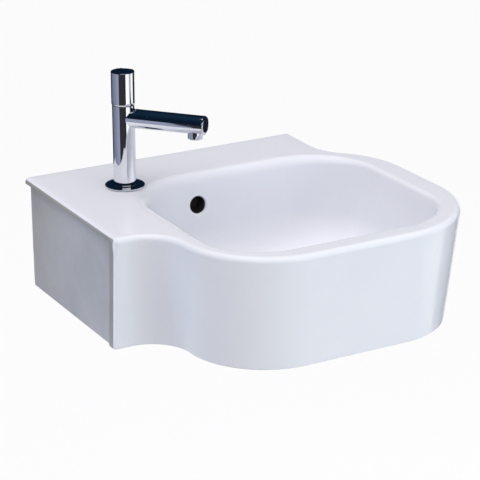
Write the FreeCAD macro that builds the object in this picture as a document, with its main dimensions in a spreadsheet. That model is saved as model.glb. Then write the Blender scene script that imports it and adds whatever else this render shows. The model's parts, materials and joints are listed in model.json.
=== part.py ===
"""Wall hung basin with a pillar tap and a push plug waste.

Millimetres. The origin is midway between the two wall bolts, on the wall. +Y goes into the wall, +X to the
right of a person who stands at the basin, +Z up. Every size is a cell of the sheet, and each outline, level and
place is a formula of those cells, so that what fits together changes together.
"""
import FreeCAD, Part
import math
import os
import re
import Sketcher

DOCUMENT = FreeCAD.newDocument("wall_hung_basin")
SHEET = DOCUMENT.addObject("Spreadsheet::Sheet", "Sizes")
NODES = []

# ---------------------------------------------------------------- driving dimensions

BASIN_SIZES = {
    "slab_width": 375,          # back slab, side to side
    "slab_depth": 254,          # wall to the slab's front corner
    "basin_depth": 402,         # wall to the bowl's front
    "bowl_left": 126,           # bolt centre to the bowl's left side
    "bowl_right": 240,          # bolt centre to the bowl's right side
    "rim_height": 60,           # wall bolts to the top
    "basin_height": 143.7,      # top to bottom edge
    "front_round": 108,         # the bowl's front left corner, at the top
    "round_shrink": 9,          # how much smaller that corner is at the bottom
    "front_right_round": 129,   # the bowl's front right corner, at the top
    "right_round_shrink": 30,
    "slab_flat": 12.5,          # flat part of the slab's front, before it sweeps into the bowl
    "shoulder_round": 112,      # convex turn of the right shoulder
    "shoulder_hollow": 58,      # concave turn of the right shoulder
    "shoulder_start": 187,      # wall to the start of the right shoulder
    "front_lean": 24,           # how far each side leans in, top to bottom
    "slab_lean": 21.5,
    "side_lean": 16.5,
    "right_lean": 16.5,
    "lip_lean": 6.5,
    "edge_round": 6,            # outer edge of the top
    "slab_corner": 7,           # the slab's two left corners, in plan
    "skirt_wall": 11,           # ceramic thickness of the skirt
    "deck_wall": 13,            # ceramic thickness of the shelf
    "back_wall": 14,            # ceramic thickness against the wall
    "panel_recess": 9.5,        # depth of the left side panel behind its outline
    "panel_wall": 9,            # ceramic thickness behind that panel
    "lip_height": 7,            # outline above the panel
    "lip_width": 13,            # outline in front of the panel
}

BOWL_SIZES = {
    "rim_left": 25.5,           # flat rim between the skirt and the bowl
    "rim_right": 36,
    "rim_front": 29,
    "shelf_back": 95,           # wall to the bowl's back edge
    "back_left_round": 85,      # corners of the bowl's edge
    "front_left_round": 76,
    "right_round": 80,
    "rim_round": 11,            # soft edge between rim and bowl
    "bowl_depth": 104,
    "bowl_lean": 18,            # how far the bowl's walls lean in, top to floor
    "floor_round": 46,          # wall into floor
    "bowl_wall": 11,
    "floor_wall": 15,
    "floor_fall": 3,            # fall of the floor towards the waste
    "fall_radius": 58,
    "waste_from_wall": 200,
    "drain_radius": 23,
    "seat_radius": 33,          # recess that holds the waste's flange
    "seat_depth": 3.5,
    "boss_radius": 45,          # thick ring of ceramic round the drain
    "boss_depth": 34,           # floor to the boss's underside
    "overflow_radius": 11,
    "overflow_drop": 38,        # top to the overflow's centre
    "duct_width": 38,           # ceramic duct from the overflow to the drain
    "duct_wall": 8,
    "channel_depth": 10,
}

FIXING_SIZES = {
    "bolt_spacing": 280,
    "bolt_radius": 5,           # machine thread, in front of the wall
    "bolt_wall_radius": 4.5,    # wood thread, inside the wall
    "bolt_embed": 70,           # length inside the wall
    "bolt_thread": 34,          # length in front of the wall
    "bolt_point": 14,
    "thread_gap": 0.05,         # radial gap between a thread and its nut
    "bush_bore_gap": 0.3,
    "bush_wall": 2.7,
    "bush_hole_gap": 0.3,
    "bush_setback": 2,          # bush end behind the wall's plane
    "bush_flange": 2.5,
    "bush_flange_radius": 13,
    "wall_washer_radius": 14,
    "wall_washer_height": 2,
    "wall_nut_flats": 17,
    "wall_nut_height": 8,
}

TAP_SIZES = {
    "tap_left": 94.3,
    "tap_from_wall": 91.4,
    "deck_hole_radius": 16,
    "gasket_height": 0.8,
    "gasket_radius": 22,
    "flange_radius": 24,
    "flange_edge": 0.9,
    "flange_height": 2.2,
    "pillar_radius": 13.5,
    "pillar_height": 102,       # deck to the pillar's top
    "shank_radius": 11.6,
    "shank_tail_radius": 10.4,  # free end, which takes the hose's nut
    "shank_tail_length": 22,
    "shank_bore": 5,
    "shank_length": 48,         # below the deck's top
    "shank_gap": 0.35,          # between the shank and what it passes
    "socket_radius": 8,
    "socket_depth": 11,
    "chamber_radius": 11.2,
    "chamber_floor": 72,        # deck to the valve chamber's floor
    "shank_rubber_radius": 22,
    "shank_rubber_height": 3,
    "shank_washer_radius": 20,
    "shank_washer_height": 1.6,
    "shank_nut_flats": 32,
    "shank_nut_height": 8,
    "spout_height": 86,
    "spout_radius": 11.5,
    "spout_bore": 9,
    "spout_reach": 104,
    "spout_end_wall": 3,
    "edge_break": 0.8,
    "aerator_reach": 91,
    "aerator_radius": 9,
    "aerator_drop": 5.5,
    "aerator_neck": 7.9,
    "aerator_wall": 1.5,
    "aerator_neck_rise": 7.5,
    "jet_height": 6,
    "jet_radius": 1.1,
    "jet_circle": 4.2,
    "aerator_seal_height": 1.8,
    "fit_gap": 0.1,             # radial gap of parts pushed or screwed together
}

VALVE_SIZES = {
    "handle_gap": 0.6,
    "handle_radius": 14.2,
    "handle_height": 40,
    "handle_wall": 1.8,
    "handle_roof": 4,
    "hub_radius": 7,
    "hub_lift": 3.5,
    "spline_radius": 3.5,
    "spline_length": 20,
    "spindle_radius": 4.5,
    "spindle_head": 7,
    "spindle_head_height": 2.4,
    "running_gap": 0.06,
    "disc_radius": 7.1,
    "disc_height": 3,
    "disc_gap": 0.05,
    "port_radius": 2,
    "port_offset": 3.6,
    "seat_seal_height": 2,
    "drum_radius": 9.2,
    "drum_height": 16,
    "drum_bore_height": 12,
    "collar_height": 5,
    "window_height": 3.5,
    "o_ring_height": 1.8,
    "o_ring_depth": 1.4,
    "bonnet_height": 6.5,
    "grub_radius": 2,
    "grub_rise": 11.4,
    "grub_setback": 0.4,
}

WASTE_SIZES = {
    "top_seal_height": 1,
    "waste_flange_radius": 32,
    "waste_flange_height": 3.2,
    "dish_radius": 27.5,
    "dish_depth": 2,
    "waste_tube_radius": 20.9,
    "waste_bore": 18.5,
    "waste_tube_length": 60,
    "slot_width": 16,
    "under_seal_height": 4,
    "under_seal_radius": 31,
    "under_washer_height": 1.5,
    "under_washer_radius": 29,
    "waste_nut_flats": 52,
    "waste_nut_height": 10,
    "tail_radius": 16,
    "tail_wall": 1.5,
    "tail_collar_height": 8,
    "tail_length": 32,          # below the waste's tube
    "spider_level": 30,         # floor to the spider's underside
    "spider_height": 4,
    "spider_width": 7,
    "spider_hub": 11,
    "guide_radius": 7.9,
    "guide_length": 26,
    "guide_flange_radius": 9.8,
    "guide_wall": 1.4,
    "guide_floor": 2,
    "stem_radius": 4,
    "stem_collar_radius": 6.3,
    "stem_collar_height": 2,
    "stem_tail_radius": 3,
    "stem_tail_length": 24,
    "plug_travel": 7,
    "plug_radius": 26.5,
    "plug_rise": 3.8,
    "plug_edge": 1.6,
    "plug_seal_inner": 19.5,
    "plug_seal_width": 3,
    "plug_seal_height": 1.2,
    "seal_clearance": 0.4,
    "spring_wire": 0.6,
    "spring_radius": 4.7,
    "spring_turns": 6,
}


def fill_sheet():
    """Write every driving dimension as a named cell."""
    row = 1
    for group in (BASIN_SIZES, BOWL_SIZES, FIXING_SIZES, TAP_SIZES, VALVE_SIZES, WASTE_SIZES):
        for name, size in group.items():
            SHEET.set(f"A{row}", name)
            SHEET.set(f"B{row}", str(size))
            SHEET.setAlias(f"B{row}", name)
            row += 1
    DOCUMENT.recompute()


# ---------------------------------------------------------------- formulas

def formula(text):
    """Turn the size names in a formula into references to the sheet's cells."""
    return re.sub(r"\b([a-z]+_[a-z_]+)\b", r"Sizes.\1", text)


def number(text):
    """The present value of a formula."""
    result = SHEET.evalExpression(formula(text))
    return float(getattr(result, "Value", result))


def bind(thing, path, text):
    thing.setExpression(path, formula(text))


# ---------------------------------------------------------------- sketches

def origin_part(body, role):
    """The plane or axis of a body's own origin that has this role."""
    for feature in body.Origin.OriginFeatures:
        if feature.Role == role:
            return feature


def new_sketch(body, name, role="XY_Plane", level="0"):
    """An empty sketch on one of the body's origin planes, moved along its normal to a level."""
    sketch = body.newObject("Sketcher::SketchObject", name)
    sketch.AttachmentSupport = [(origin_part(body, role), "")]
    sketch.MapMode = "FlatFace"
    if level != "0":
        bind(sketch, "AttachmentOffset.Base.z", level)
    return sketch


def dimension(sketch, kind, places, text):
    """A driving constraint whose value is a formula."""
    index = sketch.addConstraint(Sketcher.Constraint(kind, *places, number(text)))
    name = f"{kind.lower()}_{index}"
    sketch.renameConstraint(index, name)
    bind(sketch, f"Constraints.{name}", text)


def locate(sketch, geometry, end, across, up):
    """Tie one point to its two coordinates; a coordinate of 0 lies on the axis."""
    for kind, text, axis in (("DistanceX", across, -2), ("DistanceY", up, -1)):
        if text == "0":
            sketch.addConstraint(Sketcher.Constraint("PointOnObject", geometry, end, axis))
        else:
            dimension(sketch, kind, (-1, 1, geometry, end), text)


def draw_polygon(sketch, corners):
    """A closed outline of straight lines through corners given as pairs of formulas."""
    points = [FreeCAD.Vector(number(across), number(up), 0) for across, up in corners]
    first = sketch.GeometryCount
    count = len(corners)
    for index, point in enumerate(points):
        sketch.addGeometry(Part.LineSegment(point, points[(index + 1) % count]))
    for index in range(count):
        following = first + (index + 1) % count
        sketch.addConstraint(Sketcher.Constraint("Coincident", first + index, 2, following, 1))
    for index, (across, up) in enumerate(corners):
        locate(sketch, first + index, 1, across, up)


def draw_circle(sketch, radius, across="0", up="0"):
    centre = FreeCAD.Vector(number(across), number(up), 0)
    index = sketch.addGeometry(Part.Circle(centre, FreeCAD.Vector(0, 0, 1), number(radius)))
    if across == "0" and up == "0":
        sketch.addConstraint(Sketcher.Constraint("Coincident", index, 3, -1, 1))
    else:
        locate(sketch, index, 3, across, up)
    dimension(sketch, "Radius", (index,), radius)


def draw_box(sketch, left, low, right, high):
    draw_polygon(sketch, [(left, low), (right, low), (right, high), (left, high)])


def draw_hexagon(sketch, flats):
    """A hexagon with two sides square to X."""
    side = f"{flats} / (2 * sqrt(3))"
    tip = f"{flats} / sqrt(3)"
    half = f"{flats} / 2"
    draw_polygon(sketch, [
        (half, f"-{side}"), (half, side), ("0", tip),
        (f"-{half}", side), (f"-{half}", f"-{side}"), ("0", f"-{tip}")])


# ---------------------------------------------------------------- features

def new_body(name, x="0", y="0", z="0", turn=None):
    """A body at a place; turn is a pair of axis and angle formula."""
    body = DOCUMENT.addObject("PartDesign::Body", name)
    body.Label = name
    if turn:
        axis, angle = turn
        body.Placement.Rotation = FreeCAD.Rotation(FreeCAD.Vector(*axis), number(angle))
        bind(body, "Placement.Rotation.Angle", angle)
    for path, text in (("x", x), ("y", y), ("z", z)):
        if text != "0":
            bind(body, f"Placement.Base.{path}", text)
    return body


def feature(body, kind, name, sketch, **settings):
    """Add one sketched feature; settings that are text are formulas."""
    made = body.newObject(f"PartDesign::{kind}", name)
    made.Profile = sketch
    for key, setting in settings.items():
        if isinstance(setting, str) and key in ("Length", "Angle", "Radius"):
            bind(made, key, setting)
        else:
            setattr(made, key, setting)
    sketch.Visibility = False
    return made


def pad(body, sketch, length, reverse=False):
    return feature(body, "Pad", f"{sketch.Name}_pad", sketch, Length=length, Reversed=reverse)


def pocket(body, sketch, length, reverse=False):
    """Cut a sketch into the body, and check that it takes material away."""
    before = body_volume(body)
    made = feature(body, "Pocket", f"{sketch.Name}_cut", sketch, Length=length, Reversed=reverse)
    check_cut(body, made, before)
    return made


def revolve(body, sketch, axis="V_Axis", cut=False):
    """Turn a profile round one of the sketch's axes, to add or to cut."""
    kind = "Groove" if cut else "Revolution"
    before = body_volume(body) if cut else 0
    made = feature(body, kind, f"{sketch.Name}_turn", sketch)
    made.ReferenceAxis = (sketch, [axis])
    made.Angle = 360
    if cut:
        check_cut(body, made, before)
    return made


def loft(body, sketches, cut=False):
    """A ruled skin between outlines that have the same number of edges."""
    kind = "SubtractiveLoft" if cut else "AdditiveLoft"
    before = body_volume(body) if cut else 0
    made = feature(body, kind, f"{sketches[0].Name}_loft", sketches[0])
    made.Sections = sketches[1:]
    made.Ruled = True
    sketches[-1].Visibility = False
    if cut:
        check_cut(body, made, before)
    return made


def combine(body, other, kind):
    """Fuse a second body to this one, or cut it away."""
    before = body_volume(body)
    made = body.newObject("PartDesign::Boolean", f"{other.Name}_{kind.lower()}")
    made.setObjects([other])
    made.Type = kind
    if kind == "Cut":
        check_cut(body, made, before)
    return made


def body_volume(body):
    DOCUMENT.recompute()
    return body.Shape.Volume


def check_cut(body, made, before):
    DOCUMENT.recompute()
    if not body.Shape.Volume < before - 1e-3:
        raise ValueError(f"{made.Name} takes nothing away")


def round_edges(body, name, radius, wanted):
    """Fillet the edges for which wanted(edge) is true."""
    DOCUMENT.recompute()
    base = body.Tip
    names = [f"Edge{i + 1}" for i, edge in enumerate(base.Shape.Edges) if wanted(edge)]
    if not names:
        raise ValueError(f"{name} finds no edge")
    made = body.newObject("PartDesign::Fillet", name)
    made.Base = (base, names)
    bind(made, "Radius", radius)
    return made


def copies(body, name, features, count, axis="Z_Axis"):
    """Repeat features round an axis of the body."""
    made = body.newObject("PartDesign::PolarPattern", name)
    made.Originals = features
    made.Axis = (origin_part(body, axis), [""])
    made.Angle = 360
    made.Occurrences = count
    body.Tip = made
    return made


def keep(item):
    """Count an object as one of the basin's pieces."""
    NODES.append(item)
    return item


def turned(name, profile, **place):
    """A piece turned round its own Z axis, from corners of radius and height."""
    body = new_body(name, **place)
    sketch = new_sketch(body, f"{name}_profile", "XZ_Plane")
    draw_polygon(sketch, profile)
    revolve(body, sketch)
    return body


def ring(name, inner, outer, low, high, **place):
    """A flat ring round its own Z axis."""
    return turned(name, [(inner, low), (outer, low), (outer, high), (inner, high)], **place)


def hex_nut(name, flats, bore, low, height, **place):
    """A hexagonal nut on its own Z axis."""
    body = new_body(name, **place)
    sketch = new_sketch(body, f"{name}_outline", level=low)
    draw_hexagon(sketch, flats)
    draw_circle(sketch, bore)
    pad(body, sketch, height)
    return body


# ---------------------------------------------------------------- basin outlines

def corner_meeting(first, first_radius, second, second_radius):
    """The point where two touching circles meet, on the line between their centres."""
    return first + (second - first) * (first_radius / (first_radius + second_radius))


def skirt_outline(body, name, depth, inset="0", back_inset="0"):
    """The basin's outline at a depth below the top, drawn anticlockwise from the back left corner.

    The slab's straight sides run into the bowl's sides by a concave and a convex arc each, and the bowl's two
    front corners are arcs. The sides lean in evenly from the top to the bottom edge.
    """
    lean = f"({depth}) / basin_height"
    side = {
        "left": f"-slab_width / 2 + {lean} * lip_lean + {inset}",
        "slab_right": f"slab_width / 2 - {lean} * lip_lean - {inset}",
        "right": f"bowl_right - {lean} * right_lean - {inset}",
        "back": f"-{back_inset}" if back_inset != "0" else "0",
        "front": f"-basin_depth + {lean} * front_lean + {inset}",
        "slab_front": f"-slab_depth + {lean} * slab_lean + {inset}",
        "front_round": f"front_round - {lean} * round_shrink - {inset}",
        "front_right_round": f"front_right_round - {lean} * right_round_shrink - {inset}",
        "front_round_x": f"-bowl_left + {lean} * side_lean + front_round - {lean} * round_shrink",
        "side_hollow": f"slab_width / 2 - bowl_left - slab_flat + {inset}",
        "shoulder_round": f"shoulder_round - {inset}",
        "shoulder_hollow": f"shoulder_hollow + {inset}",
        "shoulder_y": "-shoulder_start",
        "slab_corner": "slab_corner",
    }
    sketch = new_sketch(body, name, level=f"{RIM} - ({depth})")
    draw_skirt(sketch, side)
    return sketch


def skirt_points(size):
    """Centres and meeting points of the outline's arcs, from its present sizes."""
    point = FreeCAD.Vector
    left_round = point(size["front_round_x"], size["front"] + size["front_round"], 0)
    hollow_y = size["slab_front"] - size["side_hollow"]
    reach = size["front_round"] + size["side_hollow"]
    hollow_x = left_round.x - math.sqrt(reach ** 2 - (left_round.y - hollow_y) ** 2)
    left_hollow = point(hollow_x, hollow_y, 0)
    right_round = point(size["right"] - size["front_right_round"], size["front"] + size["front_right_round"], 0)
    shoulder = point(size["right"] - size["shoulder_round"], size["shoulder_y"], 0)
    hollow_x = size["slab_right"] + size["shoulder_hollow"]
    reach = size["shoulder_round"] + size["shoulder_hollow"]
    hollow_y = shoulder.y + math.sqrt(reach ** 2 - (hollow_x - shoulder.x) ** 2)
    right_hollow = point(hollow_x, hollow_y, 0)
    left_meet = corner_meeting(left_hollow, size["side_hollow"], left_round, size["front_round"])
    right_meet = corner_meeting(right_hollow, size["shoulder_hollow"], shoulder, size["shoulder_round"])
    return left_round, left_hollow, left_meet, right_round, shoulder, right_hollow, right_meet


def arc(centre, start, end):
    """An arc drawn anticlockwise from start to end."""
    first = math.atan2(start.y - centre.y, start.x - centre.x)
    last = math.atan2(end.y - centre.y, end.x - centre.x)
    if last < first:
        last += 2 * math.pi
    circle = Part.Circle(centre, FreeCAD.Vector(0, 0, 1), (start - centre).Length)
    return Part.ArcOfCircle(circle, first, last)


def draw_skirt(sketch, side):
    """Lines and tangent arcs of the outline, held by formulas."""
    size = {key: number(text) for key, text in side.items()}
    left_round, left_hollow, left_meet, right_round, shoulder, right_hollow, right_meet = skirt_points(size)
    point = FreeCAD.Vector
    corner = size["slab_corner"]
    back_start = point(size["left"] + corner, size["back"], 0)
    back_right = point(size["slab_right"], size["back"], 0)
    hollow_top = point(size["slab_right"], right_hollow.y, 0)
    shoulder_end = point(size["right"], shoulder.y, 0)
    right_end = point(size["right"], right_round.y, 0)
    front_right = point(right_round.x, size["front"], 0)
    front_left = point(left_round.x, size["front"], 0)
    hollow_end = point(left_hollow.x, size["slab_front"], 0)
    slab_front_end = point(size["left"] + corner, size["slab_front"], 0)
    left_start = point(size["left"], size["slab_front"] + corner, 0)
    left_end = point(size["left"], size["back"] - corner, 0)
    sketch.addGeometry([
        Part.LineSegment(back_start, back_right),
        Part.LineSegment(back_right, hollow_top),
        arc(right_hollow, hollow_top, right_meet),
        arc(shoulder, shoulder_end, right_meet),
        Part.LineSegment(shoulder_end, right_end),
        arc(right_round, front_right, right_end),
        Part.LineSegment(front_right, front_left),
        arc(left_round, left_meet, front_left),
        arc(left_hollow, left_meet, hollow_end),
        Part.LineSegment(hollow_end, slab_front_end),
        arc(point(slab_front_end.x, left_start.y, 0), left_start, slab_front_end),
        Part.LineSegment(left_start, left_end),
        arc(point(back_start.x, left_end.y, 0), back_start, left_end)])
    hold_skirt(sketch, side)


def hold_skirt(sketch, side):
    """Constraints of the outline: every joint but the back right corner is tangent."""
    constraint = Sketcher.Constraint
    joints = [(1, 2, 2, 1), (2, 2, 3, 2), (3, 1, 4, 1), (4, 2, 5, 2), (5, 1, 6, 1), (6, 2, 7, 2),
              (7, 1, 8, 1), (8, 2, 9, 1), (9, 2, 10, 2), (10, 1, 11, 1), (11, 2, 12, 2), (12, 1, 0, 1)]
    sketch.addConstraint([constraint("Tangent", *joint) for joint in joints])
    sketch.addConstraint(constraint("Coincident", 0, 2, 1, 1))
    sketch.addConstraint([constraint("Horizontal", index) for index in (0, 6, 9)])
    sketch.addConstraint([constraint("Vertical", index) for index in (1, 4, 11)])
    for index, key in ((11, "left"), (1, "slab_right"), (4, "right")):
        dimension(sketch, "DistanceX", (-1, 1, index, 1), side[key])
    for index, key in ((4, "shoulder_y"), (6, "front"), (9, "slab_front")):
        dimension(sketch, "DistanceY", (-1, 1, index, 1), side[key])
    if side["back"] == "0":
        sketch.addConstraint(constraint("PointOnObject", 0, 1, -1))
    else:
        dimension(sketch, "DistanceY", (-1, 1, 0, 1), side["back"])
    dimension(sketch, "DistanceX", (-1, 1, 7, 3), side["front_round_x"])
    arcs = {2: "shoulder_hollow", 3: "shoulder_round", 5: "front_right_round", 7: "front_round",
            8: "side_hollow", 10: "slab_corner", 12: "slab_corner"}
    for index, key in arcs.items():
        dimension(sketch, "Radius", (index,), side[key])


def bowl_outline(body, name, depth, grow="0"):
    """The bowl's rounded outline at a depth below the top; grow moves it out by a wall."""
    lean = f"bowl_lean * ({depth}) / bowl_depth"
    left = f"-bowl_left + rim_left + {lean} - {grow}"
    right = f"bowl_right - rim_right - {lean} + {grow}"
    front = f"-basin_depth + rim_front + {lean} - {grow}"
    back = f"-shelf_back - {lean} + {grow}"
    radii = [f"{corner} - {lean} + {grow}"
             for corner in ("back_left_round", "front_left_round", "right_round", "right_round")]
    sketch = new_sketch(body, name, level=f"{RIM} - ({depth})")
    draw_rounded_box(sketch, left, front, right, back, radii)
    return sketch


def draw_rounded_box(sketch, left, front, right, back, radii):
    """Four lines and four tangent arcs; radii run from the back left corner, anticlockwise."""
    point = FreeCAD.Vector
    x_left, y_front, x_right, y_back = (number(text) for text in (left, front, right, back))
    back_left, front_left, front_right, back_right = (number(text) for text in radii)
    left_back = point(x_left, y_back - back_left, 0)
    left_front = point(x_left, y_front + front_left, 0)
    front_start = point(x_left + front_left, y_front, 0)
    front_end = point(x_right - front_right, y_front, 0)
    right_front = point(x_right, y_front + front_right, 0)
    right_back = point(x_right, y_back - back_right, 0)
    back_start = point(x_right - back_right, y_back, 0)
    back_end = point(x_left + back_left, y_back, 0)
    sketch.addGeometry([
        Part.LineSegment(left_back, left_front),
        arc(point(front_start.x, left_front.y, 0), left_front, front_start),
        Part.LineSegment(front_start, front_end),
        arc(point(front_end.x, right_front.y, 0), front_end, right_front),
        Part.LineSegment(right_front, right_back),
        arc(point(back_start.x, right_back.y, 0), right_back, back_start),
        Part.LineSegment(back_start, back_end),
        arc(point(back_end.x, left_back.y, 0), back_end, left_back)])
    constraint = Sketcher.Constraint
    sketch.addConstraint([constraint("Tangent", i, 2, (i + 1) % 8, 1) for i in range(8)])
    sketch.addConstraint([constraint("Vertical", 0), constraint("Horizontal", 2),
                          constraint("Vertical", 4), constraint("Horizontal", 6)])
    dimension(sketch, "DistanceX", (-1, 1, 0, 1), left)
    dimension(sketch, "DistanceY", (-1, 1, 2, 1), front)
    dimension(sketch, "DistanceX", (-1, 1, 4, 1), right)
    dimension(sketch, "DistanceY", (-1, 1, 6, 1), back)
    for index, radius in zip((7, 1, 3, 5), radii):
        dimension(sketch, "Radius", (index,), radius)


# ---------------------------------------------------------------- ceramic basin

RIM = "rim_height"
BOTTOM = "(rim_height - basin_height)"
FLOOR = "(rim_height - bowl_depth)"
OVERFLOW_LEVEL = "(rim_height - overflow_drop)"
OVERSHOOT = "2"


def on_level(edge, level):
    """True for an edge that lies in one level."""
    box = edge.BoundBox
    return abs(box.ZMin - level) < 1e-3 and abs(box.ZMax - level) < 1e-3


def make_skirt(body):
    """The outer block between the top and bottom outlines."""
    top = skirt_outline(body, "skirt_top", "0")
    bottom = skirt_outline(body, "skirt_bottom", "basin_height")
    loft(body, [top, bottom])


def hollow_underside(body):
    """Take out the space under the shelf, open at the bottom."""
    roof = skirt_outline(body, "underside_roof", "deck_wall", "skirt_wall", "back_wall")
    mouth = skirt_outline(body, "underside_mouth", "basin_height", "skirt_wall", "back_wall")
    loft(body, [roof, mouth], cut=True)
    backing = new_sketch(body, "panel_backing", level=BOTTOM)
    draw_box(backing, "-slab_width / 2 + lip_lean + edge_break", "-slab_depth + slab_lean + skirt_wall / 2",
             "-slab_width / 2 + panel_recess + panel_wall", "-back_wall / 2")
    pad(body, backing, "basin_height - deck_wall / 2")


def bowl_form(name, top_depth, floor_depth, grow):
    """A solid of the bowl's form, for the bowl itself or, grown by a wall, for the shell under it."""
    form = new_body(name)
    top = bowl_outline(form, f"{name}_top", top_depth, grow)
    floor = bowl_outline(form, f"{name}_floor", floor_depth, grow)
    loft(form, [top, floor])
    level = number(f"{RIM} - ({floor_depth})")
    round_edges(form, f"{name}_turn", f"floor_round + {grow}", lambda edge: on_level(edge, level))
    return form


def make_bowl_shell(body):
    """The bowl's outside, from the shelf down to the floor's underside, with the boss round the drain."""
    combine(body, bowl_form("bowl_shell", "deck_wall / 2", "bowl_depth + floor_wall", "bowl_wall"), "Fuse")
    boss = new_sketch(body, "drain_boss", level=f"{FLOOR} - boss_depth")
    draw_circle(boss, "boss_radius", up="-waste_from_wall")
    pad(body, boss, "boss_depth - 1")


def make_overflow_duct(body):
    """Ceramic round the overflow channel: down the bowl's back and forward to the boss."""
    bottom = f"{FLOOR} - boss_depth"
    back = "-shelf_back + bowl_wall + channel_depth + duct_wall"
    upright = new_sketch(body, "duct_upright", level=bottom)
    draw_box(upright, "-duct_width / 2", "-shelf_back - bowl_wall", "duct_width / 2", back)
    pad(body, upright, f"{OVERFLOW_LEVEL} + overflow_radius + duct_wall - {bottom}")
    level = new_sketch(body, "duct_level", level=bottom)
    draw_box(level, "-duct_width / 2", "-waste_from_wall", "duct_width / 2", "-shelf_back")
    pad(body, level, "boss_depth - floor_wall + 1")


def cut_bowl(body):
    """The bowl itself: leaning walls, a rounded turn into the floor and a fall to the drain."""
    combine(body, bowl_form("bowl_hollow", "0", "bowl_depth", "0"), "Cut")
    fall_top = new_sketch(body, "floor_fall_top", level=FLOOR)
    draw_circle(fall_top, "fall_radius", up="-waste_from_wall")
    fall_bottom = new_sketch(body, "floor_fall_bottom", level=f"{FLOOR} - floor_fall")
    draw_circle(fall_bottom, "seat_radius", up="-waste_from_wall")
    loft(body, [fall_top, fall_bottom], cut=True)
    seat = new_sketch(body, "flange_seat", level=f"{FLOOR} - floor_fall - seat_depth")
    draw_circle(seat, "seat_radius", up="-waste_from_wall")
    pocket(body, seat, f"seat_depth + {OVERSHOOT}", reverse=True)


def cut_holes(body):
    """Drain, tap, wall bolt and overflow holes, and the overflow's channel."""
    drain = new_sketch(body, "drain_hole", level=FLOOR)
    draw_circle(drain, "drain_radius", up="-waste_from_wall")
    pocket(body, drain, f"boss_depth + {OVERSHOOT}")
    tap = new_sketch(body, "tap_hole", level=RIM)
    draw_circle(tap, "deck_hole_radius", "-tap_left", "-tap_from_wall")
    pocket(body, tap, f"deck_wall + {OVERSHOOT}")
    bolts = new_sketch(body, "bolt_holes", "XZ_Plane")
    draw_circle(bolts, BUSH_HOLE, "-bolt_spacing / 2")
    draw_circle(bolts, BUSH_HOLE, "bolt_spacing / 2")
    pocket(body, bolts, f"back_wall + {OVERSHOOT}", reverse=True)
    channel_y = "-shelf_back + bowl_wall"
    overflow = new_sketch(body, "overflow_hole", "XZ_Plane", f"-({channel_y} + channel_depth / 2)")
    draw_circle(overflow, "overflow_radius", up=OVERFLOW_LEVEL)
    pocket(body, overflow, "bowl_wall + channel_depth + bowl_lean", reverse=True)
    cut_channel(body, channel_y)


def cut_channel(body, channel_y):
    """The water's way from the overflow down to the slots of the waste."""
    low = f"{FLOOR} - boss_depth + duct_wall"
    half = "(duct_width / 2 - duct_wall)"
    upright = new_sketch(body, "channel_upright", level=low)
    draw_box(upright, f"-{half}", channel_y, half, f"{channel_y} + channel_depth")
    pocket(body, upright, f"{OVERFLOW_LEVEL} - {low} + overflow_radius", reverse=True)
    level = new_sketch(body, "channel_level", level=low)
    draw_box(level, f"-{half}", "-waste_from_wall", half, f"{channel_y} + channel_depth")
    pocket(body, level, "channel_depth", reverse=True)


def cut_side_panel(body):
    """The recessed panel of the left side, open at the back and the bottom."""
    left = "-slab_width / 2"
    sketch = new_sketch(body, "side_panel", "YZ_Plane", f"{left} - {OVERSHOOT}")
    high = f"{RIM} - lip_height"
    slope = "(slab_lean / basin_height)"
    front_high = f"-slab_depth + lip_width + {slope} * lip_height"
    front_low = f"-slab_depth + lip_width + {slope} * (basin_height + {OVERSHOOT})"
    draw_polygon(sketch, [
        (OVERSHOOT, high), (front_high, high), (front_low, f"{BOTTOM} - {OVERSHOOT}"),
        (OVERSHOOT, f"{BOTTOM} - {OVERSHOOT}")])
    pocket(body, sketch, f"panel_recess + {OVERSHOOT}", reverse=True)


def make_basin():
    body = new_body("basin_body")
    make_skirt(body)
    hollow_underside(body)
    make_bowl_shell(body)
    make_overflow_duct(body)
    cut_bowl(body)
    cut_side_panel(body)
    top = number(RIM)
    round_edges(body, "top_edges", "edge_round", lambda edge: is_top_outline(edge, top))
    round_edges(body, "rim_edges", "rim_round", lambda edge: is_bowl_edge(edge, top))
    cut_holes(body)
    keep(body)


def is_top_outline(edge, top):
    """True for the top's outer edge, apart from its back, which meets the wall."""
    return on_level(edge, top) and not is_bowl_edge(edge, top) and edge.BoundBox.YMin < -1e-3


def is_bowl_edge(edge, top):
    """True for an edge of the bowl's mouth, which lies inside the rim all round."""
    box = edge.BoundBox
    return (on_level(edge, top) and box.YMax < -number("shelf_back") + 1e-3
            and box.YMin > -number("basin_depth - rim_front") - 1e-3
            and box.XMin > -number("bowl_left - rim_left") - 1e-3
            and box.XMax < number("bowl_right - rim_right") + 1e-3)


# ---------------------------------------------------------------- wall fixing

BUSH_HOLE = "bolt_radius + bush_bore_gap + bush_wall + bush_hole_gap"
INTO_WALL = ((1, 0, 0), "-90")


def pair(name, body):
    """Two equal pieces, one on each wall bolt, in one node."""
    mirror = DOCUMENT.addObject("Part::Mirroring", f"{name}_right")
    mirror.Source = body
    mirror.Normal = FreeCAD.Vector(1, 0, 0)
    both = DOCUMENT.addObject("Part::Compound", f"{name}_pair")
    both.Links = [body, mirror]
    both.Label = name
    keep(both)


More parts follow.
